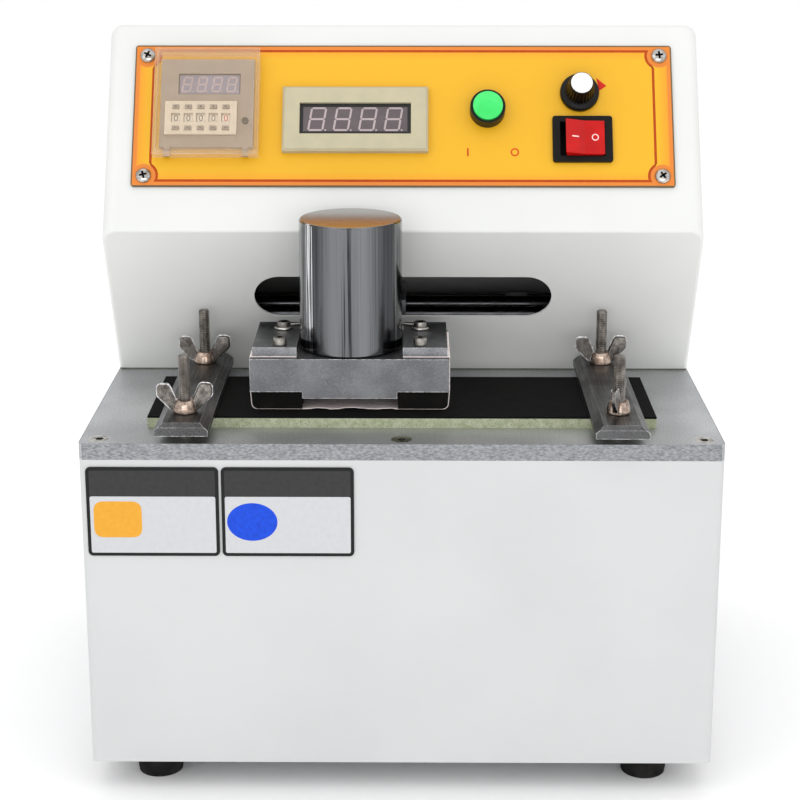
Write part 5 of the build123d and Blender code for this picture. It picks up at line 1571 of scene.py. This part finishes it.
@dataclass
class Drive:
    """What moves the block: the rods, the carriage with its arm, the crank and the motor."""

    def build(self) -> None:
        """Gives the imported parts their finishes."""
        # The rods, shaft and pins take steel darkened as painted shade.
        dress(ROD_STEEL_PAINTED_SHADE, "guide_rods", "motor_shaft", "crank_pin", "wrist_pin")
        dress(MACHINE_ALUMINIUM, "rod_supports", "carriage", "connecting_rod")
        dress(MACHINE_STEEL, "crank_disc", "drive_arm")
        dress(DARK_SCREW, "arm_screws")
        dress(BRONZE, "carriage_bushings")
        dress(GEARBOX_METAL, "gearbox")
        dress(MOTOR_PAINT, "drive_motor")
        dress(DARK_PLASTIC, "stroke_sensor")
        dress(BOARD_GREEN, "control_board")


@dataclass
class ControlPanel:
    """The yellow plate with its printed line, marks and corner screws."""

    width: float = 290.0
    height: float = 80.4
    middle: float = 64.6
    top: float = 1.5
    line_inset: float = 2.6
    line_width: float = 1.35
    arc_radius: float = 6.5
    screw_inset_x: float = 6.7
    screw_inset_y: float = 6.0
    screw_head_radius: float = 4.2
    screw_head_height: float = 2.4
    screw_head_foot: float = 0.25
    screw_radius: float = 2.0
    screw_length: float = 10.0
    screw_turns: tuple[float, ...] = (0.25, 1.1, 0.6, 0.1)
    recess_width: float = 1.35
    recess_length: float = 5.2
    recess_depth: float = 1.7
    print_height: float = 0.1
    arc_runs: int = 12
    arrow: tuple[Point, ...] = ((104.1, 86.2), (109.6, 81.6), (105.2, 78.6), (105.0, 82.0))
    mark_height: float = 4.6
    mark_width: float = 0.9
    mark_stroke: float = 0.8
    mark_up: float = 43.8
    start_mark_x: float = 34.7
    stop_mark_x: float = 59.8

    def screw_place(self) -> Point:
        """How far the corner screws are across and up from the plate's middle."""
        return (self.width / 2 - self.screw_inset_x, self.height / 2 - self.screw_inset_y)

    def line(self, inset: float, radius: float) -> list[Point]:
        """Outlines the printed line, which bends inward around each corner screw.

        Args:
            inset: How far inside the plate's edge it runs.
            radius: How far from a screw's middle it bends.

        Returns:
            The outline.
        """
        right, top = self.width / 2 - inset, self.height / 2 - inset
        screw_x, screw_y = self.screw_place()
        start = math.asin((top - screw_y) / radius)
        end = math.acos((right - screw_x) / radius)
        quarter = []
        for step in range(self.arc_runs + 1):
            turn = math.pi - start + (start + end) * step / self.arc_runs
            quarter.append((screw_x + radius * math.cos(turn), screw_y + radius * math.sin(turn)))
        made: list[Point] = []
        for sign_x, sign_y, back in ((1, 1, False), (1, -1, True), (-1, -1, False), (-1, 1, True)):
            run = [(sign_x * x, sign_y * y) for x, y in quarter]
            made += run[::-1] if back else run
        return made

    def add_line(self) -> None:
        """Adds the printed line."""
        shape = Shape()
        outer = self.line(self.line_inset, self.arc_radius)
        inner = self.line(self.line_inset + self.line_width, self.arc_radius + self.line_width)
        shape.frame(outer, inner, -self.print_height / 2, self.print_height / 2)
        at = SLOPE.matrix(0, self.middle, self.top)
        shape.piece("panel_line", at, [LINE_INK], "cabinet")

    def add_marks(self) -> None:
        """Adds the arrow by the knob and the plain on and off marks by the button."""
        low, high = -self.print_height / 2, self.print_height / 2
        shape = Shape()
        shape.prism(self.arrow, low, high)
        at = SLOPE.matrix(0, 0, self.top)
        shape.piece("knob_arrow", at, [ARROW_INK], "cabinet")
        shape = Shape()
        bar = rectangle(self.mark_width, self.mark_height, 0.2, self.start_mark_x, self.mark_up)
        shape.prism(bar, low, high)
        outer, inner = (
            circle(radius, x=self.stop_mark_x, y=self.mark_up)
            for radius in (self.mark_height / 2, self.mark_height / 2 - self.mark_stroke)
        )
        shape.frame(outer, inner, low, high)
        shape.piece("panel_marks", at, [MARK_INK], "cabinet")

    def screw_profile(self) -> list[Point]:
        """Outlines a round-headed screw from its point to its top.

        Returns:
            Radius and height of its outside.
        """
        radius, height, foot = self.screw_head_radius, self.screw_head_height, self.screw_head_foot
        profile = [
            (self.screw_radius, -self.screw_length), (self.screw_radius, 0.0),
            (radius - 0.1, 0.0), (radius, foot),
        ]
        for bend in (0.25, 0.5, 0.75, 1.0, 1.25, 1.45):
            profile.append((radius * math.cos(bend), foot + (height - foot) * math.sin(bend)))
        return profile

    def add_screws(self) -> None:
        """Adds the four round-headed cross screws."""
        shape = Shape()
        screw_x, screw_y = self.screw_place()
        corners = [(x, y) for x in (-1, 1) for y in (-1, 1)]
        floor, top = self.screw_head_height - self.recess_depth, self.screw_head_height + 0.6
        for (side, level), turn in zip(corners, self.screw_turns):
            head = Shape()
            head.lathe(self.screw_profile())
            head.carve(cross_recess(self.recess_width, self.recess_length, floor, top))
            place = Matrix.Translation((side * screw_x, self.middle + level * screw_y, 0))
            shape.absorb(head, place @ Matrix.Rotation(turn, 4, "Z"))
        at, finishes = SLOPE.matrix(0, 0, self.top), [BRIGHT_SCREW, RECESS_PAINTED_SHADE]
        shape.piece("panel_round_screws", at, finishes, "cabinet", "panel_screws")

    def build(self) -> None:
        """Dresses the plate and adds its print and screws."""
        dress(YELLOW_PRINT, "panel_plate")
        self.add_line()
        self.add_marks()
        self.add_screws()


@dataclass
class Figures:
    """A row of unlit seven-bar figures on a film."""

    name: str
    x: float
    up: float
    floor: float
    film_width: float
    film_height: float
    pitch: float
    width: float
    height: float
    stroke: float
    film: Finish
    body: str = "cabinet"
    slot: str = "dark_plastic"
    border: float = 1.8
    film_thickness: float = 0.25
    bar_thickness: float = 0.06
    bar_gap: float = 0.12
    count: int = 4
    slant: float = 0.16

    def bars(self, middle: float) -> list[list[Point]]:
        """Outlines one figure's seven bars.

        Args:
            middle: Where the figure's middle is across.

        Returns:
            The bars' outlines.
        """
        half, tall, gap = self.width / 2, self.height / 2, self.stroke * self.bar_gap
        ends = [((-half, y), (half, y)) for y in (-tall, 0.0, tall)]
        ends += [((x, low), (x, low + tall)) for x in (-half, half) for low in (-tall, 0.0)]
        made = []
        for start, end in ends:
            first, last = Vector(start), Vector(end)
            along = (last - first).normalized()
            aside = Vector((-along.y, along.x)) * self.stroke / 2
            tip = along * self.stroke / 2
            first, last = first + along * gap, last - along * gap
            outline = [
                first, first + tip - aside, last - tip - aside,
                last, last - tip + aside, first + tip + aside,
            ]
            made.append([(middle + spot.x + self.slant * spot.y, spot.y) for spot in outline])
        return made

    def build(self) -> None:
        """Adds the film and the figures."""
        film = Shape()
        across, tall = self.film_width, self.film_height
        film.frame(
            rectangle(across, tall), rectangle(across - 2 * self.border, tall - 2 * self.border),
            0.0, self.film_thickness * 1.5,
        )
        film.finish = 1
        film.prism(rectangle(across - self.border, tall - self.border), 0.0, self.film_thickness)
        at = SLOPE.matrix(self.x, self.up, self.floor)
        film.piece(f"{self.name}_film", at, [DARK_PLASTIC, self.film], self.body)
        figures = Shape()
        low, high = self.film_thickness / 2, self.film_thickness + self.bar_thickness
        for index in range(self.count):
            middle = (index - (self.count - 1) / 2) * self.pitch
            for bar in self.bars(middle):
                figures.prism(bar, low, high)
            point_x = middle + self.width / 2 + self.stroke * 0.6
            figures.prism(circle(self.stroke * 0.5, 12, point_x, -self.height / 2), low, high)
        figures.piece(f"{self.name}_figures", at, [DISPLAY_BAR], self.body)


@dataclass
class Counter:
    """The preset counter under its clear cover."""

    x: float = -105.0
    up: float = 70.0
    face: float = 5.5
    window_x: float = 1.0
    window_y: float = 11.0
    window_floor: float = 4.3
    block_x: float = -3.0
    block_y: float = -8.9
    key_top: float = 8.3
    key_row: float = 6.0
    mark_length: float = 1.5
    mark_stroke: float = 0.45
    mark_sunk: float = -0.04
    mark_top: float = 0.05
    digits: int = 5
    digit_pitch: float = 6.7
    wheel_radius: float = 7.0
    wheel_out: float = -0.9
    numeral_height: float = 3.5
    numeral_out: float = 0.06
    numeral_step: float = math.radians(36)

    def columns(self) -> list[float]:
        """Where the columns of digits are across, from the counter's middle."""
        half = self.digits // 2
        return [self.block_x + (index - half) * self.digit_pitch for index in range(self.digits)]

    def add_key_marks(self) -> None:
        """Adds a plus over each column and a minus below it, on the keys."""
        long, thin, sunk, top = self.mark_length, self.mark_stroke, self.mark_sunk, self.mark_top
        for name, side in (("plus", 1), ("minus", -1)):
            shape = Shape()
            y = self.block_y + side * self.key_row
            for column in self.columns():
                shape.prism(rectangle(long, thin, 0.1, column, y), sunk, top)
                if name == "plus":
                    shape.prism(rectangle(thin, long, 0.1, column, y), sunk, top + 0.01)
            at = SLOPE.matrix(self.x, self.up, self.key_top)
            shape.piece(f"{name}_marks", at, [KEY_MARK], f"{name}_keys")

    def add_numerals(self) -> None:
        """Adds the figures 0 to 9 around each wheel, the last wheel's in red."""
        shape = Shape()
        reach = self.wheel_radius + self.numeral_out
        for column, across in enumerate(self.columns()):
            for number in range(10):
                known_corners, known_faces = set(shape.mesh.verts), set(shape.mesh.faces)
                shape.mesh.from_mesh(text_mesh(str(number), self.numeral_height))
                for corner in set(shape.mesh.verts) - known_corners:
                    x, y, _ = corner.co
                    turn = y / self.wheel_radius + number * self.numeral_step
                    y, out = self.block_y + reach * math.sin(turn), reach * math.cos(turn)
                    corner.co = (across + x, y, out)
                for face in set(shape.mesh.faces) - known_faces:
                    face.material_index = 1 if column == self.digits - 1 else 0
        at, finishes = SLOPE.matrix(self.x, self.up, self.wheel_out), [NUMERAL_DARK, NUMERAL_RED]
        shape.piece("wheel_numerals", at, finishes, "wheels")

    def build(self) -> None:
        """Dresses the counter and adds its display, marks and numerals."""
        dress(COUNTER_GREY, "counter_body")
        dress(CLEAR_COVER, "counter_cover")
        dress(DARK_PLASTIC, "counter_reset")
        dress(KEY_GREY, "counter_plus_keys", "counter_minus_keys")
        dress(WHEEL_WHITE, "counter_wheels")
        Figures(
            name="counter", x=self.x + self.window_x, up=self.up + self.window_y,
            floor=self.window_floor, film_width=33.0, film_height=11.6, pitch=8.0,
            width=4.3, height=8.0, stroke=0.9, film=COUNTER_FILM, border=0.4,
        ).build()
        self.add_key_marks()
        self.add_numerals()


@dataclass
class Tachometer:
    """The speed display in its bevelled frame."""

    x: float = -25.5
    up: float = 61.3
    floor: float = 4.3

    def build(self) -> None:
        """Dresses the display and adds its figures."""
        dress(TACHO_BEIGE, "tachometer")
        Figures(
            name="tachometer", x=self.x, up=self.up, floor=self.floor, film_width=59.4,
            film_height=17.4, pitch=13.6, width=7.6, height=12.4, stroke=1.05, film=DISPLAY_FILM,
        ).build()


@dataclass
class Controls:
    """The start button, the speed knob and the power switch."""

    knob_x: float = 94.8
    knob_up: float = 76.9
    knob_out: float = 2.0
    knob_stem: float = -12.0
    flutes: int = 24
    flute_depth: float = 0.55
    flute_bottom: float = 5.4
    flute_top: float = 15.6
    cap_radius: float = 5.7
    pointer_width: float = 0.9
    pointer_length: float = 2.6
    pointer_place: Triple = (6.7, 0.0, 13.6)
    pointer_lean: float = math.radians(82)
    pointer_turn: float = math.radians(54.6)
    switch_x: float = 96.0
    switch_up: float = 50.8
    rocker_pivot: float = 1.0
    rocker_turn: float = math.radians(10)
    rocker_half: float = 10.6
    rocker_rise: float = 6.4
    rocker_dip: float = 5.0
    on_mark_x: float = -5.2
    on_mark_length: float = 3.8
    on_mark_stroke: float = 0.7
    off_mark_x: float = 5.6
    off_mark_radius: float = 1.9
    off_mark_stroke: float = 0.55
    mark_sunk: float = -0.05
    mark_top: float = 0.06

    def dress_nodes(self) -> None:
        """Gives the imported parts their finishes."""
        dress(COLLAR_BLACK, "button_bezel")
        dress(BUTTON_GREEN, "start_button")
        dress(MACHINE_STEEL, "speed_control")
        dress(SWITCH_BLACK, "switch_bezel")
        dress(ROCKER_RED, "power_rocker")

    def flute(self, turn: float, height: float) -> float:
        """Gives how far the knob's side is sunk by its flutes.

        Args:
            turn: The turn around the knob, in radians.
            height: The height over the knob's bottom.

        Returns:
            The change of its radius.
        """
        if not self.flute_bottom < height < self.flute_top:
            return 0.0
        return -self.flute_depth * max(0.0, math.cos(self.flutes * turn)) ** 2

    def add_knob(self) -> None:
        """Adds the fluted knob with its white cap and pointer."""
        shape = Shape()
        profile = [
            (3.0, self.knob_stem), (3.0, 0.0), (9.9, 0.0), (10.4, 0.25), (10.5, 0.8), (10.5, 2.6),
            (10.3, 3.3), (9.7, 3.9), (8.7, 4.3), (8.0, 4.9), (7.7, 5.5), (7.55, 7.0), (7.2, 9.5),
            (6.85, 12.0), (6.45, 14.6), (6.3, 15.4), (6.1, 15.8), (5.8, 16.0),
        ]
        shape.lathe(profile, 144, wave=self.flute)
        shape.finish = 1
        cap = self.cap_radius
        shape.lathe([(cap, 15.9), (cap, 16.2), (cap - 0.15, 16.4), (cap - 0.5, 16.5)])
        outline = rectangle(self.pointer_width, self.pointer_length, 0.2)
        pointer = shape.prism(outline, -0.15, 0.15)
        lean = Matrix.Rotation(self.pointer_lean, 4, "Y") @ Matrix.Rotation(math.pi / 2, 4, "Z")
        place = Matrix.Translation(self.pointer_place) @ lean
        shape.move(pointer, Matrix.Rotation(self.pointer_turn, 4, "Z") @ place)
        at = SLOPE.matrix(self.knob_x, self.knob_up, self.knob_out)
        shape.piece("fluted_knob", at, [KNOB_BLACK, KNOB_WHITE], "knob", "speed_knob")

    def add_switch_marks(self) -> None:
        """Adds the plain bar and ring on the rocker."""
        shape = Shape()
        fold = (self.rocker_rise - self.rocker_dip) / self.rocker_half
        sunk, top = self.mark_sunk, self.mark_top
        bar = shape.prism(rectangle(self.on_mark_length, self.on_mark_stroke, 0.15), sunk, top)
        outer = circle(self.off_mark_radius, 32)
        inner = circle(self.off_mark_radius - self.off_mark_stroke, 32)
        ring = shape.frame(outer, inner, sunk, top)
        for corners, x in ((bar, self.on_mark_x), (ring, self.off_mark_x)):
            tilt = Matrix.Rotation(-math.copysign(math.atan(fold), x), 4, "Y")
            shape.move(corners, Matrix.Translation((x, 0, self.rocker_dip + fold * abs(x))) @ tilt)
        at = SLOPE.matrix(self.switch_x, self.switch_up, self.rocker_pivot)
        at = at @ Matrix.Rotation(self.rocker_turn, 4, "Y")
        shape.piece("rocker_marks", at, [SWITCH_MARK], "rocker")

    def build(self) -> None:
        """Dresses the controls and adds the knob and the marks."""
        self.dress_nodes()
        self.add_knob()
        self.add_switch_marks()


@dataclass
class Studio:
    """The floor, the soft light and the camera."""

    camera_place: Triple = (5.59, -982.59, 475.64)
    pitch: float = 14.537
    yaw: float = 0.42
    focal: float = 1834.84
    shift: float = -0.1
    frame_size: float = 800.0
    sensor: float = 36.0
    floor_half: float = 30.0
    room: tuple[Point, ...] = ((0.0, 0.72), (0.5, 0.72), (0.7, 0.96), (1.0, 1.12))
    aim: Triple = (0.0, 0.0, 0.2)

    def add_floor(self) -> None:
        """Adds the plain pale floor."""
        data = bpy.data.meshes.new("floor")
        grid = bmesh.new()
        bmesh.ops.create_grid(grid, x_segments=8, y_segments=8, size=self.floor_half)
        grid.to_mesh(data)
        grid.free()
        nodes = Nodes("floor_paper")
        cloud = nodes.noise(400.0, detail=3.0)
        paper = nodes.ramp(cloud, (0.3, tint(252, 252, 252)), (0.7, tint(254, 254, 254)))
        nodes.set("Base Color", paper)
        nodes.set("Roughness", 0.7)
        nodes.bump(nodes.noise(1.5), 0.01)
        data.materials.append(nodes.material)
        floor = bpy.data.objects.new("floor", data)
        bpy.context.scene.collection.objects.link(floor)

    def add_light(self, name: str, place: Triple, size: tuple[float, float], power: float) -> None:
        """Adds one soft light that looks at the machine's middle.

        Args:
            name: The light's name.
            place: Where it hangs, in metres.
            size: Its width and height, in metres.
            power: Its power in watts.
        """
        data = bpy.data.lights.new(name, "AREA")
        data.shape, data.size, data.size_y, data.energy = "RECTANGLE", size[0], size[1], power
        light = bpy.data.objects.new(name, data)
        light.location = place
        toward = Vector(self.aim) - Vector(place)
        light.rotation_euler = toward.to_track_quat("-Z", "Y").to_euler()
        bpy.context.scene.collection.objects.link(light)

    def add_world(self) -> None:
        """Adds the room's even light, brighter from above."""
        world = bpy.data.worlds.new("studio")
        world.use_nodes = True
        tree = world.node_tree
        ramp = tree.nodes.new("ShaderNodeValToRGB")
        elements = ramp.color_ramp.elements
        for index, (position, level) in enumerate(self.room):
            element = elements[index] if index < 2 else elements.new(position)
            element.position, element.color = position, (level, level, level * 1.01, 1.0)
        turn = tree.nodes.new("ShaderNodeTexCoord").outputs["Generated"]
        split = tree.nodes.new("ShaderNodeSeparateXYZ")
        tree.links.new(turn, split.inputs["Vector"])
        half = tree.nodes.new("ShaderNodeMapRange")
        half.inputs["From Min"].default_value = -1.0
        tree.links.new(split.outputs["Z"], half.inputs["Value"])
        tree.links.new(half.outputs["Result"], ramp.inputs["Fac"])
        tree.links.new(ramp.outputs["Color"], tree.nodes["Background"].inputs["Color"])
        tree.nodes["Background"].inputs["Strength"].default_value = 1.0
        bpy.context.scene.world = world

    def add_camera(self) -> None:
        """Adds the camera where the photograph was taken from."""
        data = bpy.data.cameras.new("camera")
        data.sensor_width = self.sensor
        data.lens = self.sensor * self.focal / self.frame_size
        data.shift_y = self.shift
        camera = bpy.data.objects.new("camera", data)
        camera.location = Vector(self.camera_place) * MM
        camera.rotation_euler = (math.radians(90 - self.pitch), 0.0, math.radians(self.yaw))
        bpy.context.scene.collection.objects.link(camera)
        bpy.context.scene.camera = camera

    def build(self) -> None:
        """Sets up the whole studio."""
        self.add_floor()
        self.add_world()
        self.add_light("left_softbox", (-1.5, -1.3, 1.3), (1.3, 1.6), 5.0)
        self.add_light("right_softbox", (1.7, -0.9, 1.1), (0.9, 1.6), 3.0)
        self.add_light("top_softbox", (0.0, -0.3, 2.3), (2.2, 1.8), 3.6)
        self.add_light("front_fill", (0.0, -2.6, 0.45), (2.4, 0.7), 15.0)
        self.add_camera()
        bpy.context.scene.view_settings.view_transform = "Standard"


def main() -> None:
    """Builds the machine's sub-assemblies in order, then the studio."""
    logging.basicConfig(level=logging.INFO, format="%(name)s: %(message)s")
    parts = (
        Cabinet(), Bed(), RubbingBlock(), Drive(), ControlPanel(), Counter(), Tachometer(),
        Controls(), Studio(),
    )
    for part in parts:
        LOG.info("building the %s", type(part).__name__)
        part.build()


if __name__ == "__main__":
    main()
